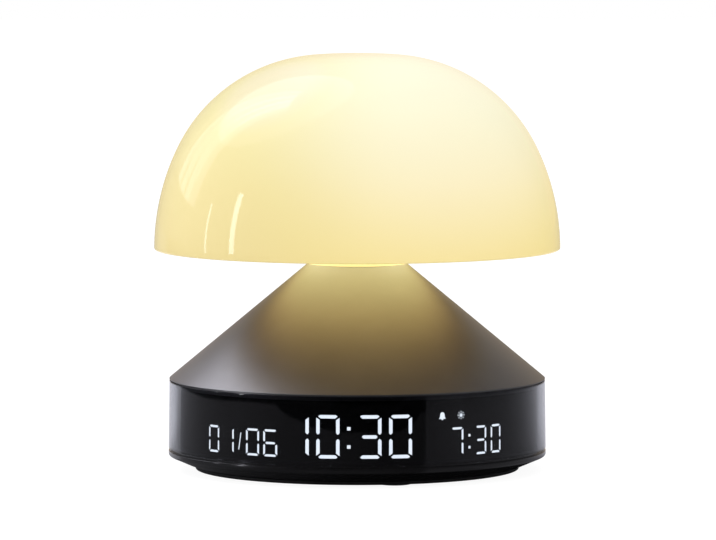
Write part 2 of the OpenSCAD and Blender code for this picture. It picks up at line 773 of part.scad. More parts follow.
module rear_panel() {
    half = 180 - window_half - window_joint_deg;
    side_u = speaker_w / 2 + DRILL;
    color([0.05, 0.05, 0.06]) difference() {
        union() {
            rotate([0, 0, 90 - half]) rotate_extrude(angle = 2 * half) wall_profile();
            // shelves and flat face of the recess for the controls
            intersection() {
                translate([-body_r, back_y, shelf_z0]) cube([2 * body_r, body_r, shelf_z1 - shelf_z0]);
                cylinder(r = wall_in + 0.5, h = wall_z1);
            }
            // bosses for the button board
            for (side = [-1, 1]) {
                towards_back(side * board_boss_x, button_board_y0 + board_t, button_z)
                    cylinder(r = board_boss_r, h = back_y - button_board_y0 - board_t + EPS);
            }
            // walls on both sides of the loudspeaker
            intersection() {
                at_speaker() for (side = [-1, 1]) {
                    translate([
                        side * (side_u + pocket_wall / 2) - pocket_wall / 2,
                        -(shelf_z1 - shelf_z0) / 2, speaker_back - 1
                    ]) cube([pocket_wall, shelf_z1 - shelf_z0, speaker_d + 8]);
                }
                cylinder(r = wall_in + 0.5, h = wall_z1);
            }
        }
        translate([-body_r, flat_y, recess_z0]) cube([2 * body_r, body_r, recess_h]);
        for (i = [0 : buttons - 1]) {
            towards_back((i - (buttons - 1) / 2) * button_pitch, back_y - 1, button_z)
                cylinder(r = button_r + DRILL, h = flat_t + 2);
        }
        // inlet for the plug: a slot with round ends
        usb_end = usb_h / 2 + CLEAR;
        for (side = [-1, 1]) {
            towards_back(side * (usb_w / 2 - usb_h / 2), back_y - 1, usb_z)
                cylinder(r = usb_end, h = flat_t + 2);
        }
        translate([-(usb_w - usb_h) / 2, back_y - 1, usb_z - usb_end])
            cube([usb_w - usb_h, flat_t + 2, 2 * usb_end]);
        // slot of the alarm switch
        translate([
            slider_x - slide_travel / 2 - knob_w / 2 - CLEAR, back_y - 1,
            board_z1 + slider_h / 2 - knob_h / 2 - CLEAR
        ]) cube([slide_travel + knob_w + 2 * CLEAR, flat_t + 2, knob_h + 2 * CLEAR]);
        for (side = [-1, 1]) {
            towards_back(side * board_boss_x, button_board_y0 + board_t - 1, button_z)
                cylinder(r = small_screw_r + FIT, h = small_screw_l);
        }
        // grille of the loudspeaker
        at_speaker() for (i = [-3 : 3]) {
            for (k = [-2 : 2]) {
                translate([i * grille_pitch, k * grille_pitch, speaker_front])
                    cylinder(r = grille_r, h = 10);
            }
        }
    }
}

// ---- Display ----

// One lit bar of a digit: the top bar, an upright and the middle bar, in a cell w by h
function bar_top(w, h, s, c, g) = [
    [c - w / 2, h / 2 - 0.4 * s], [c + 0.5 * s - w / 2, h / 2], [w / 2 - c - 0.5 * s, h / 2],
    [w / 2 - c, h / 2 - 0.4 * s], [w / 2 - s - g / 2, h / 2 - s], [s + g / 2 - w / 2, h / 2 - s]
];
function bar_side(w, h, s, c, g) = [
    [w / 2, h / 2 - c - g / 3], [w / 2, g + s / 2], [w / 2 - s / 2, g], [w / 2 - s, g + s / 2],
    [w / 2 - s, h / 2 - s - 0.8 * g]
];
function bar_middle(w, s, g) = [
    [s / 2 + g - w / 2, 0], [s + g - w / 2, s / 2], [w / 2 - s - g, s / 2],
    [w / 2 - s / 2 - g, 0], [w / 2 - s - g, -s / 2], [s + g - w / 2, -s / 2]
];

// Bars that each figure lights, lettered clockwise from the top with g in the middle
function bars(figure) =
    figure == 0 ? "abcdef"
    : figure == 1 ? "bc"
    : figure == 3 ? "abcdg"
    : figure == 6 ? "acdefg"
    : "abc";

module digit(figure, w, h, s, play) {
    cut = digit_cut * s;
    gap = digit_gap * s - 4 * play;
    cell = [w + 2 * play, h + 2 * play, s + 2 * play];
    for (bar = bars(figure)) {
        if (bar == "a") polygon(bar_top(cell.x, cell.y, cell.z, cut, gap));
        if (bar == "d") mirror([0, 1]) polygon(bar_top(cell.x, cell.y, cell.z, cut, gap));
        if (bar == "b") polygon(bar_side(cell.x, cell.y, cell.z, cut, gap));
        if (bar == "c") mirror([0, 1]) polygon(bar_side(cell.x, cell.y, cell.z, cut, gap));
        if (bar == "e") mirror([1, 0]) mirror([0, 1])
            polygon(bar_side(cell.x, cell.y, cell.z, cut, gap));
        if (bar == "f") mirror([1, 0]) polygon(bar_side(cell.x, cell.y, cell.z, cut, gap));
        if (bar == "g") polygon(bar_middle(cell.x, cell.z, gap));
    }
}

module colon(s, h, play) {
    for (side = [-1, 1]) {
        translate([0, (0.21 * side - 0.02) * h]) square(s + 2 * play, center = true);
    }
}

module slash(s, h, play) {
    lean = 0.45;
    wide = s * 0.3 + play;
    high = 0.315 * h + play;
    polygon([[-lean - wide, -high], [-lean + wide, -high], [lean + wide, high], [lean - wide, high]]);
}

module bell_sign(play) {
    translate([0, 0.48]) circle(r = 0.82 + play);
    polygon([
        [-0.82 - play, 0.48], [0.82 + play, 0.48], [0.9 + play, -0.4], [1.32 + play, -0.9 - play],
        [-1.32 - play, -0.9 - play], [-0.9 - play, -0.4]
    ]);
    translate([0, -1]) circle(r = 0.34 + play);
}

module sun_sign(play) {
    circle(r = 0.6 + play);
    for (i = [0 : 7]) {
        rotate(45 * i) translate([1.14, 0]) square([0.5 + 2 * play, 0.26 + 2 * play], center = true);
    }
}

// Everything that lights, as solids behind the window. figures are two and two digits
module figure_group(at, figures, mid, pitch, w, h, s, r, depth, play) {
    places = [-mid - pitch, -mid, mid, mid + pitch];
    for (i = [0 : 3]) {
        if (figures[i] >= 0) on_wall(at + places[i], r, digit_z + h / 2)
            linear_extrude(depth) digit(figures[i], w, h, s, play);
    }
}

module lit_marks(r, depth, play) {
    figure_group(time_at, [1, 0, 3, 0], time_mid, time_pitch, time_w, time_h, time_stroke, r, depth, play);
    figure_group(date_at, [0, 1, 0, 6], date_mid, date_pitch, date_w, date_h, small_stroke, r, depth, play);
    figure_group(
        alarm_at, [-1, 7, 3, 0], alarm_mid, alarm_pitch, alarm_w, alarm_h, small_stroke, r, depth, play
    );
    on_wall(time_at, r, digit_z + time_h / 2) linear_extrude(depth) colon(time_stroke, time_h, play);
    on_wall(alarm_at, r, digit_z + alarm_h / 2) linear_extrude(depth)
        colon(small_stroke * 1.2, alarm_h, play);
    on_wall(date_at, r, digit_z + date_h / 2) linear_extrude(depth) slash(small_stroke, date_h, play);
    on_wall(bell_at, r, sign_z) linear_extrude(depth) bell_sign(play);
    on_wall(sun_at, r, sign_z) linear_extrude(depth) sun_sign(play);
}

module display_segments() {
    color([0.92, 0.95, 1]) lit_marks(lit_r - lit_depth, lit_depth, 0);
}

module display_frame() {
    color([0.02, 0.02, 0.025]) difference() {
        union() {
            wall_sector(frame_half, frame_in + led_gap, frame_out, ring_z0, ring_z1);
            wall_sector(frame_half, frame_in, frame_in + 1, ring_z0, ring_z0 + frame_rail);
            wall_sector(frame_half, frame_in, frame_in + 1, ring_z1 - frame_rail, ring_z1);
            // tongue behind the tray's ring
            wall_sector(frame_half, frame_in, ring_in - DRILL, ring_z0 - 2, ring_z0 + EPS);
        }
        lit_marks(frame_in - 1, frame_t + 3, lit_play);
    }
}

module display_board() {
    color([0.05, 0.22, 0.13]) wall_sector(
        board_half, frame_in - display_board_t, frame_in - FIT, ring_z0, ring_z1
    );
}

module display_ribbon() {
    y = display_ribbon_y;
    color([0.85, 0.7, 0.4]) ribbon(-ribbon_w / 2, [
        [y, ring_z0 + 4], [y, deck_z + 2], [y + 2, deck_z], [board_y0 - 1, deck_z],
        [board_y0 - 0.4, deck_z + 0.6], [board_y0 - 0.4, board_z1], [board_y0 + 5, board_z1]
    ]);
}

module display_leds() {
    reach = board_half - 2;
    color([0.95, 0.95, 0.8]) for (i = [0 : led_columns - 1]) {
        for (row = led_rows) {
            on_wall(reach * (2 * i / (led_columns - 1) - 1), frame_in, ring_z0 + (ring_z1 - ring_z0) * row)
                translate([0, 0, led_chip.z / 2]) cube(led_chip, center = true);
        }
    }
}

// ---- Lower half of the base ----

module base_tray() {
    corner = [
        for (a = [0 : corner_turn / 6 : corner_turn])
            [body_r0 - corner_r * (1 - cos(corner_turn - a)), band_z - corner_r * sin(corner_turn - a)]
    ];
    color([0.05, 0.05, 0.055]) difference() {
        union() {
            rotate_extrude() polygon(concat(
                [[0, floor_z], [cover_r + DRILL, floor_z], [cover_r + DRILL, tray_z], [tray_under_r, tray_z]],
                corner,
                [
                    [body_r0, rim_top_z], [ledge_r, rim_top_z], [ledge_r, wall_z0], [ring_out, wall_z0],
                    [ring_out, ring_z0], [ring_in, ring_z0],
                    [ring_in, deck_z + (ring_in - under_in) * tan(under_slope)],
                    [under_in, deck_z], [0, deck_z]
                ]
            ));
            around(4, post_ring_r, 45)
                translate([0, 0, floor_z + 0.5]) cylinder(r = post_r, h = post_split - floor_z - 0.5);
            for (a = cover_screw_angles) {
                rotate([0, 0, a]) translate([cover_screw_ring, 0, floor_z + 0.5])
                    cylinder(r = cover_boss_r, h = tray_floor_t - 0.5 + cover_boss_h);
            }
            for (x = [-board_hole_x, board_hole_x]) {
                for (y = [board_hole_y0, board_hole_y1]) {
                    translate([x, y, floor_z + 0.5])
                        cylinder(r = standoff_r, h = board_z0 - floor_z - 0.5);
                }
            }
            for (side = [-1, 1]) {
                translate([side * ear_x, ear_y, floor_z + 0.5])
                    cylinder(r = standoff_r, h = deck_z + ear_boss_h - floor_z - 0.5);
            }
        }
        around(4, post_ring_r, 45) {
            translate([0, 0, floor_z - 1]) cylinder(r = post_bore_r, h = post_step_z - floor_z + 1);
            translate([0, 0, floor_z]) cylinder(r = case_screw_r + FIT, h = post_split);
        }
        for (a = cover_screw_angles) {
            rotate([0, 0, a]) translate([cover_screw_ring, 0, floor_z - 1])
                cylinder(r = cover_screw_r + FIT, h = tray_floor_t + cover_boss_h);
        }
        for (x = [-board_hole_x, board_hole_x]) {
            for (y = [board_hole_y0, board_hole_y1]) {
                translate([x, y, board_z0 - small_screw_l])
                    cylinder(r = small_screw_r + FIT, h = small_screw_l + 1);
            }
        }
        for (side = [-1, 1]) {
            translate([side * ear_x, ear_y, deck_z - 0.4])
                cylinder(r = small_screw_r + FIT, h = ear_boss_h + 1);
        }
    }
}

module bottom_cover() {
    color([0.06, 0.06, 0.065]) difference() {
        translate([0, 0, cover_z]) cylinder(r = cover_r, h = cover_t);
        around(4, pad_ring_r, 15) translate([0, 0, cover_z - 1])
            cylinder(r = pad_r + FIT, h = pad_h - pad_proud + 1);
        for (a = cover_screw_angles) {
            rotate([0, 0, a]) translate([cover_screw_ring, 0, 0]) {
                cylinder(r = cover_screw_r + FIT, h = floor_z + 1);
                translate([0, 0, cover_z - EPS])
                    cylinder(r1 = cover_head_r + 2 * FIT, r2 = cover_screw_r + FIT, h = 1.3);
            }
        }
    }
}

module foot_pads() {
    color([0.32, 0.32, 0.33]) around(4, pad_ring_r, 15) rotate_extrude() polygon([
        [0, 0], [pad_r - 0.2, 0], [pad_r, 0.2], [pad_r, pad_h], [0, pad_h]
    ]);
}

module cover_screws() {
    color([0.3, 0.3, 0.31]) for (a = cover_screw_angles) {
        rotate([0, 0, a]) translate([cover_screw_ring, 0, cover_z]) {
            cylinder(r1 = cover_head_r, r2 = cover_screw_r, h = 1.25);
            cylinder(r = cover_screw_r, h = cover_screw_l);
        }
    }
}

module case_screws() {
    color([0.7, 0.7, 0.72]) around(4, post_ring_r, 45) translate([0, 0, post_step_z]) {
        cylinder(r = case_screw_r, h = case_screw_l);
        translate([0, 0, -case_head_h]) cylinder(r = case_head_r, h = case_head_h);
    }
}

// Like screws in four places: main board, switch bridge, button board, battery holder
module small_screws() {
    color([0.68, 0.68, 0.7]) {
        for (x = [-board_hole_x, board_hole_x]) {
            for (y = [board_hole_y0, board_hole_y1]) {
                translate([x, y, board_z1])
                    pan_screw(small_screw_r, small_screw_l, small_head_r, small_head_h);
            }
        }
        around(2, bridge_x) translate([0, 0, bridge_z0]) rotate([180, 0, 0])
            pan_screw(small_screw_r, small_screw_l, small_head_r, small_head_h);
        for (side = [-1, 1]) {
            translate([side * board_boss_x, button_board_y0, button_z]) rotate([90, 0, 0])
                pan_screw(small_screw_r, small_screw_l, small_head_r, small_head_h);
            translate([side * ear_x, ear_y, deck_z + small_screw_l])
                pan_screw(small_screw_r, small_screw_l, small_head_r, small_head_h);
        }
    }
}

// ---- Electronics ----

module main_board() {
    color([0.08, 0.3, 0.18]) difference() {
        translate([-board_w / 2, board_y0, board_z0]) cube([board_w, board_y1 - board_y0, board_t]);
        for (x = [-board_hole_x, board_hole_x]) {
            for (y = [board_hole_y0, board_hole_y1]) {
                translate([x, y, board_z0 - 1]) cylinder(r = small_screw_r + FIT, h = board_t + 2);
            }
        }
    }
}

module board_parts() {
    color([0.12, 0.12, 0.13]) {
        for (c = chips) {
            translate([c[0], c[1], board_z1]) cube([c[2], c[3], c[4]]);
        }
        translate([coil[0], coil[1], board_z1]) cylinder(r = coil[2], h = coil[3]);
        for (p = plugs) {
            translate([p[0], p[1], board_z1]) cube([p[2], p[3], plug_h]);
        }
    }
}

module usb_socket() {
    in_h = usb_h - 2 * usb_wall;
    in_w = usb_w - 2 * usb_wall;
    module stadium(w, h, l) {
        for (side = [-1, 1]) {
            translate([side * (w - h) / 2, 0, 0]) rotate([-90, 0, 0]) cylinder(r = h / 2, h = l);
        }
        translate([-(w - h) / 2, 0, -h / 2]) cube([w - h, l, h]);
    }
    color([0.78, 0.79, 0.8]) translate([0, usb_y1 - usb_l, usb_z]) {
        difference() {
            stadium(usb_w, usb_h, usb_l);
            translate([0, 1, 0]) stadium(in_w, in_h, usb_l);
        }
        translate([-3.3, 0.5, -0.35]) cube([6.6, usb_l - 1.5, 0.7]);
    }
}

module battery_holder() {
    color([0.15, 0.15, 0.16]) difference() {
        union() {
            translate([-holder_x, cell_y - holder_y, deck_z])
                cube([2 * holder_x, 2 * holder_y, cell_z - deck_z]);
            for (side = [-1, 1]) {
                translate([side * ear_x, ear_y, deck_z + ear_boss_h]) {
                    cylinder(r = ear_r, h = ear_t);
                    translate([-ear_r, 0, 0]) cube([2 * ear_r, ear_r + EPS, ear_t]);
                }
            }
        }
        translate([-cell_l / 2 - contact_t, cell_y, cell_z]) rotate([0, 90, 0])
            cylinder(r = cell_r + DRILL, h = cell_l + 2 * contact_t);
        for (side = [-1, 1]) {
            translate([side * ear_x, ear_y, deck_z]) cylinder(r = small_screw_r + FIT, h = 3 * ear_t);
        }
        // channel for the display's ribbon
        translate([-ribbon_w / 2 - CLEAR, cell_y - holder_y - 1, deck_z - 1])
            cube([ribbon_w + 2 * CLEAR, 2 * holder_y + 2, 1 + ribbon_t + DRILL]);
    }
}

module battery_cell() {
    color([0.2, 0.45, 0.7]) translate([-cell_l / 2, cell_y, cell_z]) rotate([0, 90, 0])
        cylinder(r = cell_r, h = cell_l);
}

module battery_contacts() {
    color([0.8, 0.78, 0.7]) for (side = [-1, 1]) {
        translate([side * (cell_l + contact_t) / 2 - contact_t / 2, cell_y - 3, cell_z - 6])
            cube([contact_t, 6, 9]);
    }
}

module battery_lead() {
    thin_r = 0.7;
    x = -cell_l / 2 - contact_t - thin_r;
    plug = plugs[3];
    color([0.75, 0.1, 0.1]) wire(smooth([
        [x, cell_y, cell_z + 2], [x, cell_y + 4, cell_z + 4], [x, cell_y + 9, cell_z + 4.4],
        [x + 2, cell_y + 13, cell_z + 4], [-26, 3, cell_z + 4], [-22, 7, cell_z + 4],
        [plug[0] + 2, plug[1] + 2.5, board_z1 + 6.5], [plug[0] + 2, plug[1] + 2.5, board_z1 + plug_h + 0.05]
    ], 3), thin_r, [1, 0, 0.1]);
}

module speaker_frame() {
    rim = 1.3;
    color([0.1, 0.1, 0.11]) at_speaker() difference() {
        union() {
            translate([-speaker_w / 2, -speaker_h / 2, speaker_back])
                cube([speaker_w, speaker_h, speaker_d]);
            translate([0, 0, speaker_back - magnet_h]) cylinder(r = magnet_r, h = magnet_h + EPS);
        }
        translate([-speaker_w / 2 + rim, -speaker_h / 2 + rim, speaker_front - 2.6])
            cube([speaker_w - 2 * rim, speaker_h - 2 * rim, 3]);
    }
}

module speaker_diaphragm() {
    rim = 1.3;
    color([0.25, 0.25, 0.27]) at_speaker() union() {
        translate([-speaker_w / 2 + rim, -speaker_h / 2 + rim, speaker_front - 1.6])
            cube([speaker_w - 2 * rim, speaker_h - 2 * rim, 0.5]);
        translate([0, 0, speaker_front - 1.15]) cylinder(r1 = 4, r2 = 3.2, h = 0.5);
        translate([0, 0, speaker_front - 2.6]) cylinder(r = 4, h = 1.1);
    }
}

module speaker_gasket() {
    rim = 1.3;
    color([0.08, 0.08, 0.08]) difference() {
        intersection() {
            at_speaker() difference() {
                translate([-speaker_w / 2, -speaker_h / 2, speaker_front]) cube([speaker_w, speaker_h, 8]);
                translate([-speaker_w / 2 + rim, -speaker_h / 2 + rim, speaker_front - 1])
                    cube([speaker_w - 2 * rim, speaker_h - 2 * rim, 10]);
            }
            cylinder(r = wall_in - 0.02, h = wall_z1, $fn = 360);
        }
    }
}

module speaker_lead() {
    lead_r = 0.7;
    r = speaker_back - lead_r;
    u = 9;
    start = [r * cos(speaker_dir) - u * sin(speaker_dir), r * sin(speaker_dir) + u * cos(speaker_dir)];
    plug_x = plugs[1][0] + 2.5;
    plug_y = plugs[1][1] + 2;
    color([0.75, 0.1, 0.1]) wire(smooth([
        [start.x, start.y, speaker_z], [start.x - 2, start.y - 1.6, speaker_z + 0.4],
        [plug_x + 6.5, plug_y + 3, speaker_z + 1], [plug_x + 2.5, plug_y + 1.5, speaker_z + 1],
        [plug_x + 0.5, plug_y + 0.5, board_z1 + 6.8], [plug_x, plug_y, board_z1 + plug_h + 0.05]
    ], 3), lead_r, [1, -1, 0.2]);
}

// ---- Rear controls ----

module button_board() {
    color([0.08, 0.3, 0.18]) difference() {
        translate([-button_board_w / 2, button_board_y0, button_board_z0])
            cube([button_board_w, board_t, button_board_z1 - button_board_z0]);
        for (side = [-1, 1]) {
            towards_back(side * board_boss_x, button_board_y0 - 1, button_z)
                cylinder(r = small_screw_r + FIT, h = board_t + 2);
        }
    }
}

module button_ribbon() {
    y = button_board_y0;
    color([0.85, 0.7, 0.4]) ribbon(ribbon_x, [
        [y - 8, board_z1], [y - 4, board_z1], [y, button_board_z0 - CLEAR], [y, button_z - 2]
    ]);
}

module button_switches() {
    color([0.12, 0.12, 0.13]) for (i = [0 : buttons - 1]) {
        x = (i - (buttons - 1) / 2) * button_pitch;
        difference() {
            translate([x - 3, tact_y0, button_z - 3]) cube([6, tact_h, 6]);
            towards_back(x, tact_y1 - 1 - button_travel - 0.2, button_z)
                cylinder(r = plunger_r + plunger_play, h = tact_h);
        }
    }
}

// Push-button: rounded cap, flange behind the face, stub on the switch's stem
module button(i) {
    x = (i - (buttons + 1) / 2) * button_pitch;
    cap_h = flat_y + button_proud - cap_y0;
    soft = 0.4;
    color([0.1, 0.1, 0.11]) towards_back(x, cap_y0, button_z) rotate_extrude() polygon([
        [0, -button_stub_l], [button_stub_r, -button_stub_l], [button_stub_r, 0],
        [button_r + button_flange, 0], [button_r + button_flange, button_flange_t],
        [button_r, button_flange_t], [button_r, cap_h - soft], [button_r - 0.12, cap_h - 0.12],
        [button_r - soft, cap_h], [0, cap_h - 0.25]
    ]);
}

module button_stem(i) {
    x = (i - (buttons + 1) / 2) * button_pitch;
    color([0.8, 0.8, 0.78]) towards_back(x, tact_y1 - 1, button_z)
        cylinder(r = plunger_r, h = stub_y0 - tact_y1 + 1);
}

// The knob is drawn at the left end of its travel, seen from the front
knob_x = slider_x - slide_travel / 2;

module alarm_switch() {
    color([0.6, 0.6, 0.62]) difference() {
        translate([slider_x - slider_w / 2, slider_y1 - slider_d, board_z1])
            cube([slider_w, slider_d, slider_h]);
        translate([
            slider_x - slide_travel / 2 - knob_w / 2 - CLEAR, slider_y1 - 2, board_z1 + (slider_h - knob_h) / 2 - 0.2
        ]) cube([slide_travel + knob_w + 2 * CLEAR, 3, knob_h + 0.4]);
    }
}

module alarm_knob() {
    color([0.85, 0.85, 0.84]) translate([knob_x - knob_w / 2, slider_y1 - 1.7, board_z1 + (slider_h - knob_h) / 2])
        cube([knob_w, flat_y + knob_proud - slider_y1 + 1.7, knob_h]);
}

dome_shade();
shade_disc();
head_stem();
stem_clip();
heat_plate();
lamp_led_board();
lamp_leds();
head_screws();
switch_plunger();
head_lead();
neck_bush();
neck_spring();
cone_shell();
switch_bridge();
head_switch_board();
switch_housing();
switch_lead();
display_window();
rear_panel();
display_frame();
display_segments();
display_board();
display_leds();
display_ribbon();
base_tray();
bottom_cover();
foot_pads();
cover_screws();
case_screws();
small_screws();
main_board();
board_parts();
usb_socket();
battery_holder();
battery_cell();
battery_contacts();
battery_lead();
speaker_frame();
speaker_diaphragm();
speaker_gasket();
speaker_lead();
button_board();
button_ribbon();
button_switches();
alarm_switch();
alarm_knob();
for (i = [1 : buttons]) {
    button(i);
    button_stem(i);
}
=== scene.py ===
import math

import bpy
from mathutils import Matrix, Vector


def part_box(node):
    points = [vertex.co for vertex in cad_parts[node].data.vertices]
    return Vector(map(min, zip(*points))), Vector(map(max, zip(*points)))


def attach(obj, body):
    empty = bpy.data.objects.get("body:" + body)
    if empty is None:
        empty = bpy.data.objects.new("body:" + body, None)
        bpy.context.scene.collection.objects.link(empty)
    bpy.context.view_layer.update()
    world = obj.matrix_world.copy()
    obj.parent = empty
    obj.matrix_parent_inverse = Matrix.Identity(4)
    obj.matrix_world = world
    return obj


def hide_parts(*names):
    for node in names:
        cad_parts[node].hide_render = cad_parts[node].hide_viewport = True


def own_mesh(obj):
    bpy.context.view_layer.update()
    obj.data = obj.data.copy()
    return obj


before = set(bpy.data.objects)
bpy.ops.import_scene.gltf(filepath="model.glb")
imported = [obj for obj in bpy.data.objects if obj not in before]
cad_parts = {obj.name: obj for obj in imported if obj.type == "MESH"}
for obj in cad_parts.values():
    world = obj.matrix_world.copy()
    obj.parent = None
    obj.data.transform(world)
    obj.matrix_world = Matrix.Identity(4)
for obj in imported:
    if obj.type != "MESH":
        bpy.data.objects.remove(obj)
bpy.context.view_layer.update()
bpy.ops.object.select_all(action="DESELECT")


# ------------------------------------------------------------------ Foot pads
# Four discs of soft grey rubber. They are stamped from sheet, pressed into the
# pockets of the bottom cover and stand half a millimetre proud of it.

def arc(centre_r, centre_z, radius, start, end, steps):
    """Points (radius, height) of an arc, with its angles counted from outwards to upwards."""
    points = []
    for i in range(steps + 1):
        a = math.radians(start + (end - start) * i / steps)
        points.append((centre_r + radius * math.cos(a), centre_z + radius * math.sin(a)))
    return points


def held(outline):
    """Adds a point close to both ends of each long stretch, which keeps the shading of a
    rounded edge at that edge."""
    points = []
    for (r0, z0), (r1, z1) in zip(outline, outline[1:]):
        points.append((r0, z0))
        length = math.hypot(r1 - r0, z1 - z0)
        if length > 1.4:
            for share in (0.3 / length, 1 - 0.3 / length):
                points.append((r0 + (r1 - r0) * share, z0 + (z1 - z0) * share))
    return points + [outline[-1]]


def ring_of(radius, bearings):
    """Places (x, y) on a circle about the upright axis, one for each bearing in degrees."""
    return [
        (radius * math.cos(math.radians(a)), radius * math.sin(math.radians(a))) for a in bearings
    ]


def take(piece):
    """Makes one piece the only one selected."""
    bpy.ops.object.select_all(action="DESELECT")
    piece.select_set(True)
    bpy.context.view_layer.objects.active = piece


def smooth(piece, crease=30):
    """Shades a piece smooth, with an edge kept sharp where it turns by more than crease."""
    take(piece)
    bpy.ops.object.shade_smooth_by_angle(angle=math.radians(crease))
    piece.select_set(False)


def named(name):
    """The primitive that was just added, under its name."""
    piece = bpy.context.active_object
    piece.name = piece.data.name = name
    return piece


def mode(name):
    """Goes into edit mode, or back to object mode."""
    bpy.ops.object.mode_set(mode=name)


def turned(name, outline, steps=160, first=0, sweep=360, crease=30):
    """A solid turned about the upright axis. The outline is in millimetres, and its two ends
    either lie on the axis or are joined."""
    on_axis = outline[0][0] == 0 and outline[-1][0] == 0
    points = [(r / 1000, z / 1000) for r, z in outline]
    if not on_axis and sweep == 360:
        points.append(points[0])
    side = (math.cos(math.radians(first)), math.sin(math.radians(first)))
    bpy.ops.mesh.primitive_plane_add(size=0.001)
    piece = named(name)
    mode("EDIT")
    bpy.ops.mesh.merge(type="CENTER")
    r, z = points[0]
    bpy.ops.transform.translate(value=(r * side[0], r * side[1], z))
    for next_r, next_z in points[1:]:
        step = ((next_r - r) * side[0], (next_r - r) * side[1], next_z - z)
        bpy.ops.mesh.extrude_vertices_move(TRANSFORM_OT_translate={"value": step})
        r, z = next_r, next_z
    bpy.ops.mesh.select_all(action="SELECT")
    if sweep < 360:
        bpy.ops.mesh.edge_face_add()
    bpy.ops.mesh.spin(steps=steps, angle=math.radians(-sweep), center=(0, 0, 0), axis=(0, 0, 1))
    bpy.ops.mesh.select_all(action="SELECT")
    bpy.ops.mesh.remove_doubles(threshold=1e-7)
    bpy.ops.mesh.normals_make_consistent(inside=False)
    mode("OBJECT")
    smooth(piece, crease)
    return piece


def place(piece, move=(0, 0, 0), turn=0, tip=0):
    """Tips a piece about X, turns it about Z and moves it, in its mesh. In millimetres."""
    take(piece)
    piece.rotation_euler = (math.radians(tip), 0, math.radians(turn))
    piece.location = [d / 1000 for d in move]
    bpy.ops.object.transform_apply(location=True, rotation=True, scale=True)
    piece.select_set(False)
    return piece


def copy_of(piece, name):
    """A copy of a piece, with its own mesh."""
    twin = piece.copy()
    twin.data = piece.data.copy()
    twin.name = twin.data.name = name
    bpy.context.scene.collection.objects.link(twin)
    return twin


def fit(piece, material, body, slot, *nodes):
    """Gives a finished piece its material and body, and hides the solids it stands for."""
    piece.data.materials.clear()
    piece.data.materials.append(material)
    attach(piece, body)
    if nodes:
        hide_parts(*nodes)


def give_out(tree, result, **values):
    """Links what a node group has made to its outputs."""
    for label, value in values.items():
        tree.links.new(value, result[label])


def node(tree, kind, inputs=None, **settings):
    """Adds a node with its settings, and sets or links its inputs. Returns its outputs."""
    made = tree.nodes.new("ShaderNode" + kind)
    for key, value in settings.items():
        setattr(made, key, value)
    for key, value in (inputs or {}).items():
        if isinstance(value, bpy.types.NodeSocket):
            tree.links.new(value, made.inputs[key])
        else:
            made.inputs[key].default_value = value
    return made.outputs


def sums(tree, operation, *values):
    """The result of one Math node."""
    return node(tree, "Math", dict(enumerate(values)), operation=operation)["Value"]


def between(tree, value, low, high, out_low=0.0, out_high=1.0, ease=False):
    """A value brought from one range to another, and kept within it."""
    return node(
        tree, "MapRange",
        {"Value": value, "From Min": low, "From Max": high, "To Min": out_low, "To Max": out_high},
        interpolation_type="SMOOTHSTEP" if ease else "LINEAR",
    )["Result"]


def blend(tree, share, first, second, way="MIX"):
    """Two colours mixed by a share."""
    return node(tree, "Mix", {0: share, 6: first, 7: second}, data_type="RGBA", blend_type=way)[2]


def ramp(tree, share, stops):
    """A colour for each share, from (place, colour) stops."""
    made = tree.nodes.new("ShaderNodeValToRGB")
    bar = made.color_ramp
    for i, (at, colour) in enumerate(stops):
        stop = bar.elements[i] if i < 2 else bar.elements.new(at)
        stop.position, stop.color = at, (*colour, 1)
    tree.links.new(share, made.inputs["Fac"])
    return made.outputs["Color"]


def finish_group(name):
    """An empty node group for a finish, with its sockets: the tree, its inputs and outputs."""
    tree = bpy.data.node_groups.new(name, "ShaderNodeTree")
    for label, kind, value in (
        ("Colour", "Color", (0.5, 0.5, 0.5, 1)), ("Second colour", "Color", (0.5, 0.5, 0.5, 1)),
        ("Roughness", "Float", 0.5), ("Gloss spread", "Float", 0.08), ("Grain", "Float", 4000.0),
    ):
        socket = tree.interface.new_socket(label, in_out="INPUT", socket_type="NodeSocket" + kind)
        socket.default_value = value
    for label, kind in (("Colour", "Color"), ("Roughness", "Float"), ("Height", "Float")):
        tree.interface.new_socket(label, in_out="OUTPUT", socket_type="NodeSocket" + kind)
    return tree, tree.nodes.new("NodeGroupInput").outputs, tree.nodes.new("NodeGroupOutput").inputs


# Grain of a mould: fine bumps, with a colour and a gloss that wander a little
moulded, given, result = finish_group("Moulded grain")
spot = node(moulded, "TexCoord")["Object"]
cloud = node(moulded, "TexNoise", {"Vector": spot, "Scale": 60.0, "Detail": 4.0})["Fac"]
share = between(moulded, cloud, 0.35, 0.7)
tint = blend(moulded, share, given["Colour"], given["Second colour"])
grain = node(moulded, "TexNoise", {"Vector": spot, "Scale": given["Grain"], "Detail": 2.0})["Fac"]
centred = sums(moulded, "SUBTRACT", cloud, 0.5)
gloss = sums(moulded, "MULTIPLY_ADD", centred, given["Gloss spread"], given["Roughness"])
give_out(moulded, result, Colour=tint, Roughness=gloss, Height=grain)


def empty_material(name):
    """A new material, with its nodes and its shader."""
    made = bpy.data.materials.new(name)
    made.use_nodes = True
    return made, made.node_tree, made.node_tree.nodes["Principled BSDF"]


def set_all_over(surface, **values):
    """Sets what is the same all over a surface on its shader's own sockets."""
    for key, value in values.items():
        surface.inputs[key.replace("_", " ")].default_value = value


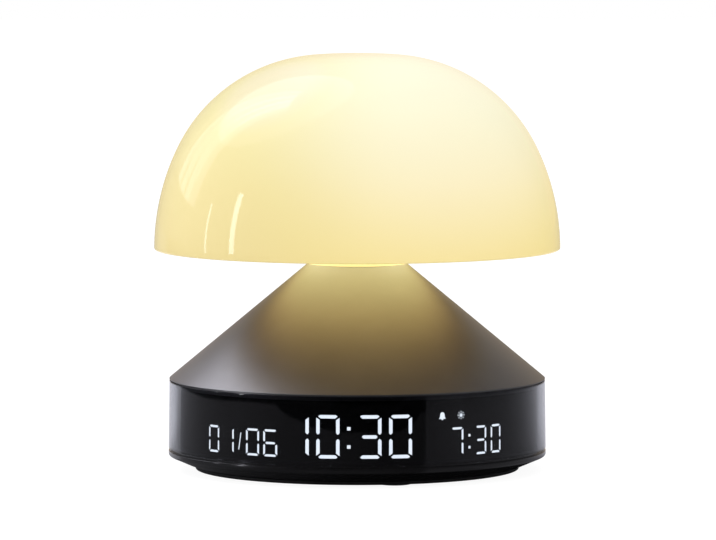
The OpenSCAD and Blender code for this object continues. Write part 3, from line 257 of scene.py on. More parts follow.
def material(name, effect, values, relief=0.00002, **shader):
    """A material in which one effect feeds the colour, the roughness and the bump."""
    made, tree, surface = empty_material(name)
    set_all_over(surface, **shader)
    use = tree.nodes.new("ShaderNodeGroup")
    use.node_tree = effect
    for key, value in values.items():
        use.inputs[key].default_value = (*value, 1) if isinstance(value, tuple) else value
    tree.links.new(use.outputs["Colour"], surface.inputs["Base Color"])
    tree.links.new(use.outputs["Roughness"], surface.inputs["Roughness"])
    if relief:
        bump = node(tree, "Bump", {"Height": use.outputs["Height"], "Distance": relief})
        tree.links.new(bump["Normal"], surface.inputs["Normal"])
    return made


def look(colour, second, roughness, spread, grain):
    """The values of a finish, by their names."""
    return {
        "Colour": colour, "Second colour": second, "Roughness": roughness,
        "Gloss spread": spread, "Grain": grain,
    }


rubber = material(
    "Grey rubber", moulded, look((0.13, 0.13, 0.133), (0.18, 0.18, 0.18), 0.75, 0.2, 2500.0),
    relief=0.00006, Specular_IOR_Level=0.35,
)

pad_r, pad_ring_r, pad_bearings = 5.5, 48, (15, 105, 195, 285)
pad_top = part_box("foot_pads")[1].z * 1000
pad = turned(
    "foot_pad_1",
    [(0, 0.12), (3.9, 0.12), (4.2, 0)]
    + arc(pad_r - 0.25, 0.25, 0.25, -90, 0, 4) + [(pad_r, pad_top), (0, pad_top)],
    steps=64,
)
pads = [pad] + [copy_of(pad, f"foot_pad_{i}") for i in (2, 3, 4)]
for one, pad_bearing in zip(pads, pad_bearings):
    place(one, move=(pad_ring_r, 0, 0))
    place(one, turn=pad_bearing)
    fit(one, rubber, "base", "pad_rubber", "foot_pads")


# --------------------------------------------------------------- Bottom cover
# A thin black moulded plate that closes the base from below, let into the tray
# and held by three countersunk screws. Its edge shows as a step over the table.

def drum(name, radius, low, high, at=(0, 0), top_radius=None, steps=48):
    """An upright round bar or cone between two heights, in millimetres."""
    bpy.ops.object.select_all(action="DESELECT")
    bpy.ops.mesh.primitive_cone_add(
        vertices=steps, radius1=radius / 1000, depth=(high - low) / 1000,
        radius2=(radius if top_radius is None else top_radius) / 1000,
        location=(at[0] / 1000, at[1] / 1000, (low + high) / 2000),
    )
    return place_as_it_is(named(name))


def block(name, low, high):
    """A square bar between two corners, in millimetres."""
    bpy.ops.object.select_all(action="DESELECT")
    bpy.ops.mesh.primitive_cube_add(
        size=1, location=[(a + b) / 2000 for a, b in zip(low, high)],
        scale=[(b - a) / 1000 for a, b in zip(low, high)],
    )
    return place_as_it_is(named(name))


def place_as_it_is(piece):
    """Puts a piece's place, turn and size into its mesh."""
    bpy.ops.object.transform_apply(location=True, rotation=True, scale=True)
    piece.select_set(False)
    return piece


def joined(pieces):
    """Several loose pieces as one."""
    bpy.ops.object.select_all(action="DESELECT")
    for piece in pieces:
        piece.select_set(True)
    bpy.context.view_layer.objects.active = pieces[0]
    if len(pieces) > 1:
        bpy.ops.object.join()
    pieces[0].select_set(False)
    return pieces[0]


def work(piece, tools, way="DIFFERENCE", crease=30):
    """Cuts tools out of a piece or adds them to it, and takes the tools away."""
    tool = joined(tools)
    take(piece)
    step = piece.modifiers.new("Work", "BOOLEAN")
    step.operation, step.solver, step.object = way, "EXACT", tool
    bpy.ops.object.modifier_apply(modifier=step.name)
    bpy.data.objects.remove(tool)
    smooth(piece, crease)
    return piece


cover_r, cover_z, floor_z, tray_z = 55.0, 0.5, 2.0, 1.6
sink_r, sink_depth, hole_r = 2.62, 1.3, 1.3
screw_places = ring_of(50.0, (90, 210, 330))
grained_black = material(
    "Grained black plastic", moulded,
    look((0.012, 0.012, 0.013), (0.018, 0.018, 0.019), 0.48, 0.16, 3200.0), relief=0.00004,
)
shallow_groove = [(43.5, cover_z), (43.7, cover_z + 0.25), (44.5, cover_z + 0.25), (44.7, cover_z)]
cover = turned("cover_plate", held(
    [(0, cover_z)] + shallow_groove
    + arc(cover_r - 0.15, cover_z + 0.15, 0.15, -90, 0, 3)
    + [(cover_r, floor_z), (0, floor_z)]
))
pockets = [
    drum("pocket", pad_r + 0.05, -1, pad_top, at, steps=64)
    for at in ring_of(pad_ring_r, pad_bearings)
]
sinks = [
    drum("sink", sink_r, cover_z - 0.01, cover_z + sink_depth, at, hole_r) for at in screw_places
]
holes = [drum("hole", hole_r, 0, 3, at) for at in screw_places]
work(cover, pockets)
work(cover, sinks)
work(cover, holes)
fit(cover, grained_black, "base", "cover_black", "bottom_cover")


# --------------------------------------------------------------- Cover screws
# Three countersunk self-tapping screws of black-oxide steel with a cross
# recess. They hold the bottom cover to bosses in the tray.

# Drawn or turned metal: fine lines one way, with a gloss that follows them
drawn, given, result = finish_group("Drawn metal")
spot = node(drawn, "TexCoord")["Object"]
pulled = node(drawn, "VectorMath", {0: spot, 1: (1.0, 1.0, 0.03)}, operation="MULTIPLY")["Vector"]
lines = node(drawn, "TexNoise", {"Vector": pulled, "Scale": given["Grain"], "Detail": 3.0})["Fac"]
cloud = node(drawn, "TexNoise", {"Vector": spot, "Scale": 150.0, "Detail": 3.0})["Fac"]
tint = blend(drawn, between(drawn, cloud, 0.35, 0.7), given["Colour"], given["Second colour"])
centred = sums(drawn, "SUBTRACT", lines, 0.5)
gloss = sums(drawn, "MULTIPLY_ADD", centred, given["Gloss spread"], given["Roughness"])
give_out(drawn, result, Colour=tint, Roughness=gloss, Height=lines)

black_oxide = material(
    "Black oxide steel", drawn, look((0.10, 0.10, 0.11), (0.15, 0.15, 0.16), 0.38, 0.3, 4000.0),
    relief=0.00001, Metallic=1.0,
)
head_z, thread_r, thread_z0, pitch, turns = cover_z + 0.12, 1.25, 2.1, 0.46, 7
thread = []
for turn in range(turns):
    z = thread_z0 + pitch * turn
    thread += [(thread_r - 0.25, z), (thread_r, z + 0.2), (thread_r - 0.25, z + 0.4)]
screw = turned(
    "cover_screw_1",
    [(0, head_z), (1.9, head_z), (2.2, head_z + 0.05), (2.26, head_z + 0.14), (1.15, 1.8)]
    + thread + [(0.5, 5.6), (0, 5.7)],
    steps=40,
)
cross_half, cross_arm, cross_top = 0.22, 1.25, head_z + 0.7
one_way = block("cross", (-cross_arm, -cross_half, 0), (cross_arm, cross_half, cross_top))
other_way = block("cross", (-cross_half, -cross_arm, -0.1), (cross_half, cross_arm, cross_top))
work(screw, [one_way])
work(screw, [other_way])
screws = [screw] + [copy_of(screw, f"cover_screw_{i}") for i in (2, 3)]
for one, (x, y), turn in zip(screws, screw_places, (12, 47, 71)):
    place(one, move=(x, y, 0), turn=turn)
    fit(one, black_oxide, "base", "black_steel", "cover_screws")


# ------------------------------------------------------------------ Base tray
# The lower half of the base, moulded in semi-gloss black plastic. Its sloping
# underside lifts it off the table, a shadow groove parts it from the window, and
# it carries the case posts and the standoffs of the boards.

rim_top_z, wall_z0, deck_z = 6.947, 7.697, 4.0
base_r, groove_r, corner_r = 64.2, 63.1, 0.8
under_r, under_slope = cover_r + 0.5, 23
ring_out, ring_in, ring_z0 = 61.6, 60.0, 8.747
band_z = rim_top_z - 1.125
under_in, under_in_z = 56.04, 5.683
semi_gloss = material(
    "Semi-gloss black plastic", moulded,
    look((0.003, 0.003, 0.0035), (0.005, 0.005, 0.0055), 0.16, 0.10, 1500.0),
    relief=0.000006, Coat_Weight=0.3, Coat_Roughness=0.05,
)
tray = turned("tray", held(
    [(0, floor_z), (cover_r + 0.15, floor_z), (cover_r + 0.15, tray_z), (under_r, tray_z)]
    + arc(base_r - corner_r, band_z, corner_r, under_slope - 90, 0, 8)
    + arc(base_r - 0.2, rim_top_z - 0.2, 0.2, 0, 90, 4)
    + [
        (groove_r, rim_top_z), (groove_r, wall_z0), (ring_out, wall_z0), (ring_out, ring_z0),
        (ring_in, ring_z0), (ring_in, under_in_z), (under_in, deck_z), (0, deck_z),
    ]
), steps=240)
post, root_z, post_top, boss_top, standoff_top = 31.113, 2.5, 20.0, 7.0, 9.8
big_bore, case_bore, pilot_r = 3.1, 1.55, 1.05
posts = [(x, y) for x in (-post, post) for y in (-post, post)]
standoffs = [(x, y) for x in (-22.313, 22.313) for y in (2.387, 42.0)]
ears = [(-14, -27.813), (14, -27.813)]
work(tray, [drum("post", 4.8, root_z, post_top, at) for at in posts]
     + [drum("boss", 2.8, root_z, boss_top, at) for at in screw_places]
     + [drum("standoff", 2.6, root_z, standoff_top, at) for at in standoffs]
     + [drum("ear boss", 2.6, root_z, boss_top, at) for at in ears], "UNION")
work(tray, [drum("bore", big_bore, 1.0, 14.0, at) for at in posts]
     + [drum("bore", hole_r, 1.0, 6.0, at) for at in screw_places]
     + [drum("bore", pilot_r, 4.8, 12.0, at) for at in standoffs]
     + [drum("bore", pilot_r, 3.6, 8.0, at) for at in ears])
work(tray, [drum("bore", case_bore, 13.0, 21.0, at) for at in posts])
fit(tray, semi_gloss, "base", "tray_black", "base_tray")


# ------------------------------------------------------------- Display window
# A wrap-round strip of smoked acrylic, polished inside and out, that stands on
# the tray and is held down by the cone. It hides the display until it is lit.

window_half, joint_half = 105, 0.09
wall_in, wall_r0, wall_r1, wall_z1, bevel = 61.9, 64.2, 63.9, 30.247, 0.25
ledge_r, brow_z = 63.15, 30.75


def wall_outline():
    """Section of the base's wall: its outer edges are rounded, and a low brow on its top
    closes most of the gap under the cone."""
    return held(
        [(wall_in, wall_z0)]
        + arc(wall_r0 - bevel, wall_z0 + bevel, bevel, -90, 0, 5)
        + arc(wall_r1 - 0.2, brow_z - 0.2, 0.2, 0.7, 90, 4)
        + [(ledge_r, brow_z), (ledge_r, wall_z1), (wall_in, wall_z1), (wall_in, wall_z0)]
    )[:-1]


smoked = material(
    "Smoked acrylic", moulded,
    look((0.30, 0.31, 0.33), (0.28, 0.29, 0.31), 0.012, 0.02, 300.0),
    relief=0.0, Transmission_Weight=1.0, IOR=1.49,
)
window = turned(
    "window_strip", wall_outline(), steps=320,
    first=270 - window_half + joint_half, sweep=2 * (window_half - joint_half),
)
fit(window, smoked, "base", "smoked_window", "display_window")


# -------------------------------------------------------------------- Display
# Light tunnels in a black frame, closed by blocks of white diffusing resin: the
# date, the time, the alarm time, a bell and a sun. A curved board with LEDs is
# behind them, and a ribbon goes down to the main board.

def finish(material, *names):
    """Gives solids that are shown as they were built their material."""
    for name in names:
        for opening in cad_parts[name].material_slots:
            opening.material = material


lit, tree, surface = empty_material("Lit white resin")
spot = node(tree, "TexCoord")["Object"]
cloud = node(tree, "TexNoise", {"Vector": spot, "Scale": 220.0, "Detail": 2.0})["Fac"]
glow = ramp(tree, cloud, [(0.3, (0.86, 0.92, 1.0)), (0.7, (0.92, 0.96, 1.0))])
tree.links.new(glow, surface.inputs["Emission Color"])
set_all_over(surface, Emission_Strength=3.4, Base_Color=(0.8, 0.82, 0.85, 1), Roughness=0.4)
finish(lit, "display_segments")

tunnel_black = material(
    "Black light-tight plastic", moulded,
    look((0.004, 0.004, 0.0045), (0.005, 0.005, 0.0055), 0.6, 0.05, 4000.0),
    relief=0.00001, Specular_IOR_Level=0.2,
)
finish(tunnel_black, "display_frame")

# Printed board: tracks and pads under a glossy mask
board_face, given, result = finish_group("Printed board")
spot = node(board_face, "TexCoord")["Object"]
cells = node(
    board_face, "TexVoronoi", {"Vector": spot, "Scale": given["Grain"]},
    distance="MANHATTAN", feature="DISTANCE_TO_EDGE",
)["Distance"]
tracks = between(board_face, cells, 0.06, 0.09)
tint = blend(board_face, tracks, given["Second colour"], given["Colour"])
gloss = sums(board_face, "MULTIPLY_ADD", tracks, given["Gloss spread"], given["Roughness"])
sunk = sums(board_face, "SUBTRACT", 1.0, tracks)
give_out(board_face, result, Colour=tint, Roughness=gloss, Height=sunk)

green_mask = material(
    "Green circuit board", board_face,
    look((0.012, 0.10, 0.045), (0.03, 0.20, 0.08), 0.28, 0.08, 420.0), relief=0.00003,
)
finish(green_mask, "display_board")


def led(name, colour, strength):
    """Clear resin over a lit phosphor."""
    made, tree, surface = empty_material(name)
    spot = node(tree, "TexCoord")["Object"]
    cloud = node(tree, "TexNoise", {"Vector": spot, "Scale": 900.0, "Detail": 1.0})["Fac"]
    pale = tuple(0.5 + 0.5 * part for part in colour)
    tint = ramp(tree, cloud, [(0.35, colour), (0.65, pale)])
    tree.links.new(tint, surface.inputs["Base Color"])
    tree.links.new(tint, surface.inputs["Emission Color"])
    set_all_over(surface, Emission_Strength=strength, Roughness=0.2)
    return made


finish(led("Cool white LED", (0.85, 0.92, 1.0), 1.0), "display_leds")

# Polyimide ribbon: copper lines along the film
film, given, result = finish_group("Ribbon film")
spot = node(film, "TexCoord")["Object"]
across = node(film, "SeparateXYZ", {"Vector": spot})["X"]
wave = sums(film, "SINE", sums(film, "MULTIPLY", across, given["Grain"]))
lines = between(film, wave, -0.2, 0.2)
tint = blend(film, lines, given["Colour"], given["Second colour"])
gloss = sums(film, "MULTIPLY_ADD", lines, given["Gloss spread"], given["Roughness"])
give_out(film, result, Colour=tint, Roughness=gloss, Height=lines)
ribbon = material(
    "Amber ribbon", film, look((0.55, 0.24, 0.03), (0.70, 0.36, 0.07), 0.25, 0.08, 6283.0),
    relief=0.00002,
)
finish(ribbon, "display_ribbon")


# ----------------------------------------------------------------- Rear panel
# The rest of the base's wall, moulded in black plastic and polished, with a
# flat-bottomed recess for the controls and the holes of the loudspeaker. Its
# bosses and pocket walls carry the button board and the loudspeaker.

flat_y, back_y, board_back_y = 58.5, 56.7, 51.0
recess_z0, recess_z1, shelf_z0, shelf_z1 = 9.972, 27.472, 8.847, 29.097
button_r, button_z, button_xs = 3.2, 21.472, (-18, -9, 0, 9, 18)
speaker_bearing, speaker_z, speaker_half = 44.5, 18.972, 14.75
board_screw_xs, inlet_half, inlet_r, inlet_z = (-24.2, 24.2), 2.84, 1.93, 13.03
panel_half = 180 - window_half - joint_half

polished_black = material(
    "Polished black plastic", moulded,
    look((0.008, 0.008, 0.009), (0.010, 0.010, 0.011), 0.07, 0.05, 600.0), relief=0.000003,
)


def hole_at_back(radius, x, z, low, high, outer_radius=None):
    """A round cutter through the back of the base: an upright one that is laid down."""
    tool = drum("hole", radius, low, high, top_radius=outer_radius)
    place(tool, tip=-90)
    return place(tool, move=(x, 0, z))


def slot_at_back(half_gap, radius, z, low, high, outer_radius=None):
    """A cutter with round ends: a round one, pulled apart at its middle."""
    tool = hole_at_back(radius, 0, z, low, high, outer_radius)
    take(tool)
    for side in (-1, 1):
        mode("EDIT")
        bpy.ops.mesh.select_all(action="DESELECT")
        mode("OBJECT")
        for point in tool.data.vertices:
            point.select = point.co.x * side > 1e-6
        mode("EDIT")
        bpy.ops.transform.translate(value=(side * half_gap / 1000, 0, 0))
        mode("OBJECT")
    tool.select_set(False)
    return tool


def at_speaker(piece):
    """Brings a piece that faces +X to the loudspeaker's place."""
    return place(piece, move=(0, 0, speaker_z), turn=speaker_bearing)


panel = turned(
    "rear_wall", wall_outline(), steps=150, first=90 - panel_half, sweep=2 * panel_half,
    crease=20,
)
insert = drum("insert", wall_in + 0.5, shelf_z0, shelf_z1, steps=300)
take(insert)
mode("EDIT")
bpy.ops.mesh.select_all(action="SELECT")
bpy.ops.mesh.bisect(
    plane_co=(0, back_y / 1000, 0), plane_no=(0, 1, 0), use_fill=True, clear_inner=True
)
mode("OBJECT")
work(panel, [insert], "UNION", 20)
work(panel, [block("recess", (-40, flat_y, recess_z0), (40, 70, recess_z1))], crease=20)

# The recess's lower and upper edges are rounded, where they meet the round face.
take(panel)
for edge in panel.data.edges:
    ends = [panel.data.vertices[i].co for i in edge.vertices]
    x, y, z = [(a + b) * 500 for a, b in zip(*ends)]
    on_rim = min(abs(z - recess_z0), abs(z - recess_z1)) < 0.02
    edge.select = on_rim and math.hypot(x, y) > 63.6 and abs(x) < 23
mode("EDIT")
bpy.ops.mesh.select_mode(type="EDGE")
bpy.ops.mesh.bevel(offset=0.00022, segments=2, clamp_overlap=False)
bpy.ops.mesh.select_mode(type="VERT")
mode("OBJECT")

bosses = [hole_at_back(2.2, x, button_z, board_back_y, back_y + 0.3) for x in board_screw_xs]
walls = [
    at_speaker(block(
        "wall", (54.02, u - 0.6, shelf_z0 - speaker_z), (60.6, u + 0.6, shelf_z1 - speaker_z)
    ))
    for u in (-speaker_half, speaker_half)
]
work(panel, bosses + walls, "UNION", 20)
work(panel, [hole_at_back(button_r + 0.15, x, button_z, 50, 62) for x in button_xs]
     + [hole_at_back(pilot_r, x, button_z, 50, 55) for x in board_screw_xs]
     + [slot_at_back(inlet_half, inlet_r, inlet_z, 50, 62)]
     + [block("slot", (-18.4, 55, 11.9), (-12.6, 62, 14.3))], crease=20)
chamfers = [
    hole_at_back(button_r + 0.15, x, button_z, flat_y - 0.35, flat_y + 0.05, button_r + 0.6)
    for x in button_xs
]
chamfers.append(slot_at_back(inlet_half, inlet_r, inlet_z, flat_y - 0.4, flat_y + 0.05, 2.45))
work(panel, chamfers, crease=20)
grille = []
for across in range(-3, 4):
    for up in range(-2, 3):
        tool = drum("grille hole", 0.75, 0, 12, steps=20)
        place(tool, tip=-90)
        place(tool, turn=-90)
        place(tool, move=(58, 3 * across, 3 * up))
        grille.append(at_speaker(tool))
work(panel, grille, crease=20)
fit(panel, polished_black, "base", "gloss_black", "rear_panel")


# --------------------------------------------------------------- Push-buttons
# Five satin black buttons with a dished face. A flange behind the panel keeps
# each one in, its stub presses the stem of a switch on the button board, and the
# middle one has a raised dot to be found by touch.

satin_black = material(
    "Satin black plastic", moulded,
    look((0.022, 0.022, 0.023), (0.028, 0.028, 0.029), 0.34, 0.12, 2600.0), relief=0.00002,
)
cap_y0, face_y, stub_y0 = 55.5, 59.5, 54.5
button_base = [
    (0, stub_y0), (1.8, stub_y0), (2, stub_y0 + 0.2), (2, cap_y0), (3.6, cap_y0),
    (3.7, cap_y0 + 0.1), (3.7, cap_y0 + 1), (button_r, cap_y0 + 1),
]
button_rim = arc(button_r - 0.45, face_y - 0.45, 0.45, 0, 90, 5)
dish = arc(0, face_y + 9.1, 9.5, -76.5, -90, 6)
dot = [(0.62, face_y - 0.39), (0.55, face_y - 0.2), (0.3, face_y - 0.07)]
side = held(button_base + button_rim)
plain = turned("button_cap", side + dish[:-1] + [(0, dish[-1][1])], steps=72)
marked = turned("button_cap_3", side + dish[:-2] + dot + [(0, face_y - 0.04)], steps=72)
for i, x in enumerate(button_xs, 1):
    cap = marked if i == 3 else copy_of(plain, f"button_cap_{i}")
    fit(place(cap, move=(x, 0, button_z), tip=-90), satin_black, f"push_button_{i}",
        "button_black", f"button_{i}")
bpy.data.objects.remove(plain)

tact_stem = material(
    "White switch plastic", moulded,
    look((0.72, 0.72, 0.70), (0.78, 0.78, 0.76), 0.35, 0.10, 3000.0), relief=0.00001,
)
black_moulding = material(
    "Black glass-filled plastic", moulded,
    look((0.015, 0.015, 0.016), (0.024, 0.024, 0.025), 0.45, 0.15, 2200.0), relief=0.00003,
)
finish(tact_stem, *(f"button_stem_{i}" for i in range(1, 6)))
finish(black_moulding, "button_switches")
finish(green_mask, "button_board")
finish(ribbon, "button_ribbon")


# --------------------------------------------------- Alarm switch and its knob
# A slide switch in a pressed steel frame, soldered on the main board. Its white
# knob stands through a slot in the panel and has three grooves for a fingernail.

socket_steel = material(
    "Bright nickel-plated steel", drawn,
    look((0.62, 0.61, 0.58), (0.70, 0.69, 0.66), 0.22, 0.20, 3000.0),
    relief=0.000004, Metallic=1.0,
)
finish(socket_steel, "alarm_switch")

low, high = [[part * 1000 for part in corner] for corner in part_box("alarm_knob")]
knob = block("alarm_knob_end", low, high)
take(knob)
edges = knob.modifiers.new("Soft edges", "BEVEL")
edges.width, edges.segments = 0.00018, 3
bpy.ops.object.modifier_apply(modifier=edges.name)
middle = (low[0] + high[0]) / 2
work(knob, [drum("groove", 0.17, low[2] - 0.1, high[2] + 0.1, (middle + x, high[1]), steps=16)
            for x in (-0.6, 0, 0.6)])
fit(knob, tact_stem, "alarm_slider", "white_plastic", "alarm_knob")


# ---------------------------------------------------------------- Loudspeaker
# A small square loudspeaker with a paper diaphragm. It is clamped on a foam
# gasket between two walls of the rear panel, behind the sound holes.

# Pressed fibre: short pale threads at all angles in a darker felt
fibre, given, result = finish_group("Pressed fibre")
spot = node(fibre, "TexCoord")["Object"]
warp = node(fibre, "TexNoise", {"Vector": spot, "Scale": 300.0, "Detail": 2.0})["Color"]
bent = blend(fibre, 0.02, spot, warp, "ADD")
threads = node(
    fibre, "TexVoronoi", {"Vector": bent, "Scale": given["Grain"]}, feature="F1"
)["Distance"]
felt = between(fibre, threads, 0.1, 0.6)
tint = blend(fibre, felt, given["Colour"], given["Second colour"])
gloss = sums(fibre, "MULTIPLY_ADD", felt, given["Gloss spread"], given["Roughness"])
give_out(fibre, result, Colour=tint, Roughness=gloss, Height=threads)

cone_paper = material(
    "Black cone paper", fibre, look((0.035, 0.034, 0.034), (0.05, 0.049, 0.048), 0.8, 0.1, 2600.0),
    relief=0.00005,
)
gasket_foam = material(
    "Dark gasket foam", fibre, look((0.02, 0.02, 0.02), (0.045, 0.045, 0.045), 0.85, 0.1, 1800.0),
    relief=0.0002,
)
red_cable = material(
    "Red cable jacket", moulded,
    look((0.42, 0.02, 0.018), (0.50, 0.03, 0.025), 0.38, 0.12, 1800.0), relief=0.00002,
)
finish(black_moulding, "speaker_frame")
finish(cone_paper, "speaker_diaphragm")
finish(gasket_foam, "speaker_gasket")
finish(red_cable, "speaker_lead")


# -------------------------------------------------- Main board and its battery
# A green board on four standoffs, with the USB inlet, the connectors and the
# chips. The cell is held in a tray in front of it and keeps the time when the
# inlet is unplugged.

cell_sleeve = material(
    "Blue shrink sleeve", moulded,
    look((0.05, 0.16, 0.38), (0.06, 0.19, 0.44), 0.30, 0.10, 500.0), relief=0.00003,
)
contact_nickel = material(
    "Nickel contact spring", drawn,
    look((0.58, 0.56, 0.52), (0.66, 0.64, 0.60), 0.25, 0.2, 4000.0),
    relief=0.000004, Metallic=1.0,
)
screw_steel = material(
    "Zinc-plated steel", drawn,
    look((0.55, 0.56, 0.58), (0.64, 0.65, 0.68), 0.30, 0.2, 5000.0),
    relief=0.000006, Metallic=1.0,
)
finish(green_mask, "main_board")
finish(black_moulding, "board_parts", "battery_holder")
finish(socket_steel, "usb_socket")
finish(cell_sleeve, "battery_cell")
finish(contact_nickel, "battery_contacts")
finish(red_cable, "battery_lead")
finish(screw_steel, "case_screws", "small_screws")


# ----------------------------------------------------------------- Cone shell
# A spun aluminium cone whose thin edge ends just above the window, bead-blasted and
# dark anodised. Four screws from below pull its bosses down on the tray's posts
# and clamp the window and the rear panel.

edge_z, slope_z, fall = 31.1, 31.3, 0.83079
cone_top_z, cone_top_r, cone_drop = 70.347, 16.9, 2.591
collar_in, collar_out, collar_z0, ring_z1 = 12.05, 13.85, 61.597, 29.197
bridge_x, bridge_top = 18.5, 45.397


def slope_at(r, below=0.0):
    """Height of the cone's outside at a radius, or of a surface below it."""
    return slope_z + (wall_r1 - r) * fall - below


gunmetal = material(
    "Dark anodised aluminium", moulded,
    look((0.32, 0.315, 0.315), (0.345, 0.34, 0.34), 0.40, 0.06, 5200.0),
    relief=0.00003, Metallic=1.0,
)
cone = turned("cone_body", held(
    [(groove_r, edge_z)]
    + arc(wall_r1 - 0.16, edge_z + 0.16, 0.16, -90, 50, 7)
    + [(cone_top_r + 0.15, slope_at(cone_top_r + 0.15)), (cone_top_r - 0.1, cone_top_z)]
    + [(collar_in, cone_top_z), (collar_in, collar_z0), (collar_out, collar_z0)]
    + [(collar_out, slope_at(collar_out, cone_drop)), (ring_in, slope_at(ring_in, cone_drop))]
    + [(ring_in, ring_z1), (ring_out, ring_z1), (ring_out, wall_z1), (groove_r, wall_z1)]
), steps=256)
boss_r, hanger_r, hollow_r, wall, over_top = 3.6, 3, 60.5, 1.3, 76
hangers = [(-bridge_x, 0), (bridge_x, 0)]
bosses = joined(
    [drum("boss", boss_r, post_top, over_top, at) for at in posts]
    + [drum("hanger", hanger_r, bridge_top, over_top, at) for at in hangers]
)
hollow = turned("hollow", [
    (0, post_top), (hollow_r, post_top), (hollow_r, slope_at(hollow_r, wall)),
    (collar_out, slope_at(collar_out, wall)), (0, slope_at(collar_out, wall)),
], steps=96)
work(bosses, [hollow], "INTERSECT")
work(cone, [bosses], "UNION")
work(cone, [drum("bore", case_bore, post_top - 1, 34, at) for at in posts]
     + [drum("bore", pilot_r, bridge_top - 1, bridge_top + 5, at) for at in hangers])
fit(cone, gunmetal, "base", "gunmetal", "cone_shell")


# ------------------------------------------- Neck bush, with what springs in it
# A turned ring of glossy opal plastic, snapped into the top of the cone. The
# head's stem slides in its bore, which has a flat, and the return spring stands in
# its recess. Below it, a bracket holds the switch that the stem presses.

bush_z0, bush_z1, guide_z1 = 59.647, 73.847, 65.647
recess_r, bore_r, flat_back = 9.6, 6.05, 5.25
opal_bush = material(
    "Glossy opal bush", moulded,
    look((0.85, 0.80, 0.62), (0.82, 0.77, 0.60), 0.25, 0.05, 1000.0), relief=0.000004,
)
bush = turned("neck_ring", held(
    [(bore_r, bush_z0), (12.5, bush_z0), (12.7, bush_z0 + 0.2), (12.7, 61.547), (12, 61.547)]
    + [(12, cone_top_z), (cone_top_r, cone_top_z)]
    + arc(12.434, bush_z1 - 0.6, 0.6, 50.5, 90, 5)
    + arc(recess_r + 0.3, bush_z1 - 0.3, 0.3, 90, 180, 4)
    + [(recess_r, guide_z1), (bore_r + 0.3, guide_z1), (bore_r, guide_z1 - 0.3)]
), steps=128)
flat = block("flat", (-3.3, -7, bush_z0 + 0.02), (3.3, -flat_back, guide_z1 - 0.32))
work(bush, [flat], "UNION")
fit(bush, opal_bush, "base", "opal_bush", "neck_bush")

spring_wire = material(
    "Spring steel wire", drawn,
    look((0.52, 0.53, 0.55), (0.60, 0.61, 0.63), 0.28, 0.2, 5000.0),
    relief=0.000004, Metallic=1.0,
)
coil_r, wire_r, coils, spring_z0, spring_rise = 8.0, 0.4, 4.5, 66.097, 9.4
bpy.ops.object.select_all(action="DESELECT")
bpy.ops.mesh.primitive_circle_add(
    vertices=12, radius=wire_r / 1000, fill_type="NOTHING", rotation=(math.pi / 2, 0, 0),
    location=(coil_r / 1000, 0, spring_z0 / 1000),
)
spring = place_as_it_is(named("return_spring"))
take(spring)
winding = spring.modifiers.new("Winding", "SCREW")
winding.angle, winding.steps = math.radians(360 * coils), round(48 * coils)
winding.screw_offset = spring_rise / 1000
winding.render_steps = winding.steps
bpy.ops.object.modifier_apply(modifier=winding.name)
mode("EDIT")
bpy.ops.mesh.select_all(action="SELECT")
bpy.ops.mesh.fill_holes(sides=0)
bpy.ops.mesh.select_all(action="SELECT")
bpy.ops.mesh.normals_make_consistent(inside=False)
mode("OBJECT")
smooth(spring, 40)
fit(spring, spring_wire, "base", "spring_steel", "neck_spring")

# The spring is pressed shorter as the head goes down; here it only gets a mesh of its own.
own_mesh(spring)

bracket_steel = material(
    "Painted steel bracket", drawn,
    look((0.20, 0.20, 0.21), (0.26, 0.26, 0.27), 0.42, 0.15, 2500.0),
    relief=0.00001, Metallic=1.0,
)
white_cable = material(
    "White cable jacket", moulded,
    look((0.78, 0.78, 0.75), (0.84, 0.84, 0.81), 0.40, 0.12, 1800.0), relief=0.00002,
)
finish(bracket_steel, "switch_bridge")
finish(green_mask, "head_switch_board")
finish(black_moulding, "switch_housing", "switch_plunger")
finish(white_cable, "switch_lead", "head_lead")


# ----------------------------------------------- Stem of the head and its lamp
# A white moulded tube with a flat and a flange. A clip in its groove keeps the
# head on. Three screws hold the flange, the underside, an aluminium heat plate
# and the LED board together, and the lead comes down through the tube.

stem_r, stem_in, stem_z0, stem_z1 = 6.0, 4.5, 51.997, 83.047
flange_r, flange_z0, disc_z0, disc_z1 = 14.0, 75.947, 78.347, 80.347
groove_z0, groove_z1, lead_z0 = 58.547, 59.647, 53.597
stem_screws = ring_of(10.2, (30, 150, 270))
stem_white = material(
    "White slippery plastic", moulded,
    look((0.78, 0.76, 0.68), (0.84, 0.82, 0.74), 0.32, 0.10, 2400.0), relief=0.00001,
)
stem = turned("head_tube", held([
    (0, stem_z0), (stem_r - 0.4, stem_z0), (stem_r, stem_z0 + 0.4), (stem_r, groove_z0),
    (stem_r - 0.6, groove_z0), (stem_r - 0.6, groove_z1), (stem_r, groove_z1),
    (stem_r, flange_z0 - 0.3), (stem_r + 0.3, flange_z0), (flange_r - 0.3, flange_z0),
    (flange_r, flange_z0 + 0.3), (flange_r, disc_z0), (stem_r, disc_z0), (stem_r, stem_z1 - 0.3),
    (stem_r - 0.3, stem_z1), (stem_in, stem_z1), (stem_in, lead_z0), (0, lead_z0),
]), steps=96)
work(stem, [block("lead hole", (-2, 0, lead_z0), (2, 7, lead_z0 + 4.5)),
            block("flat", (-7, -8, 50), (7, -5.2, flange_z0 - 1))]
     + [drum("pilot", 1.3, flange_z0 + 0.6, disc_z0 + 1, at, steps=24) for at in stem_screws])
fit(stem, stem_white, "head", "white_plastic", "head_stem")

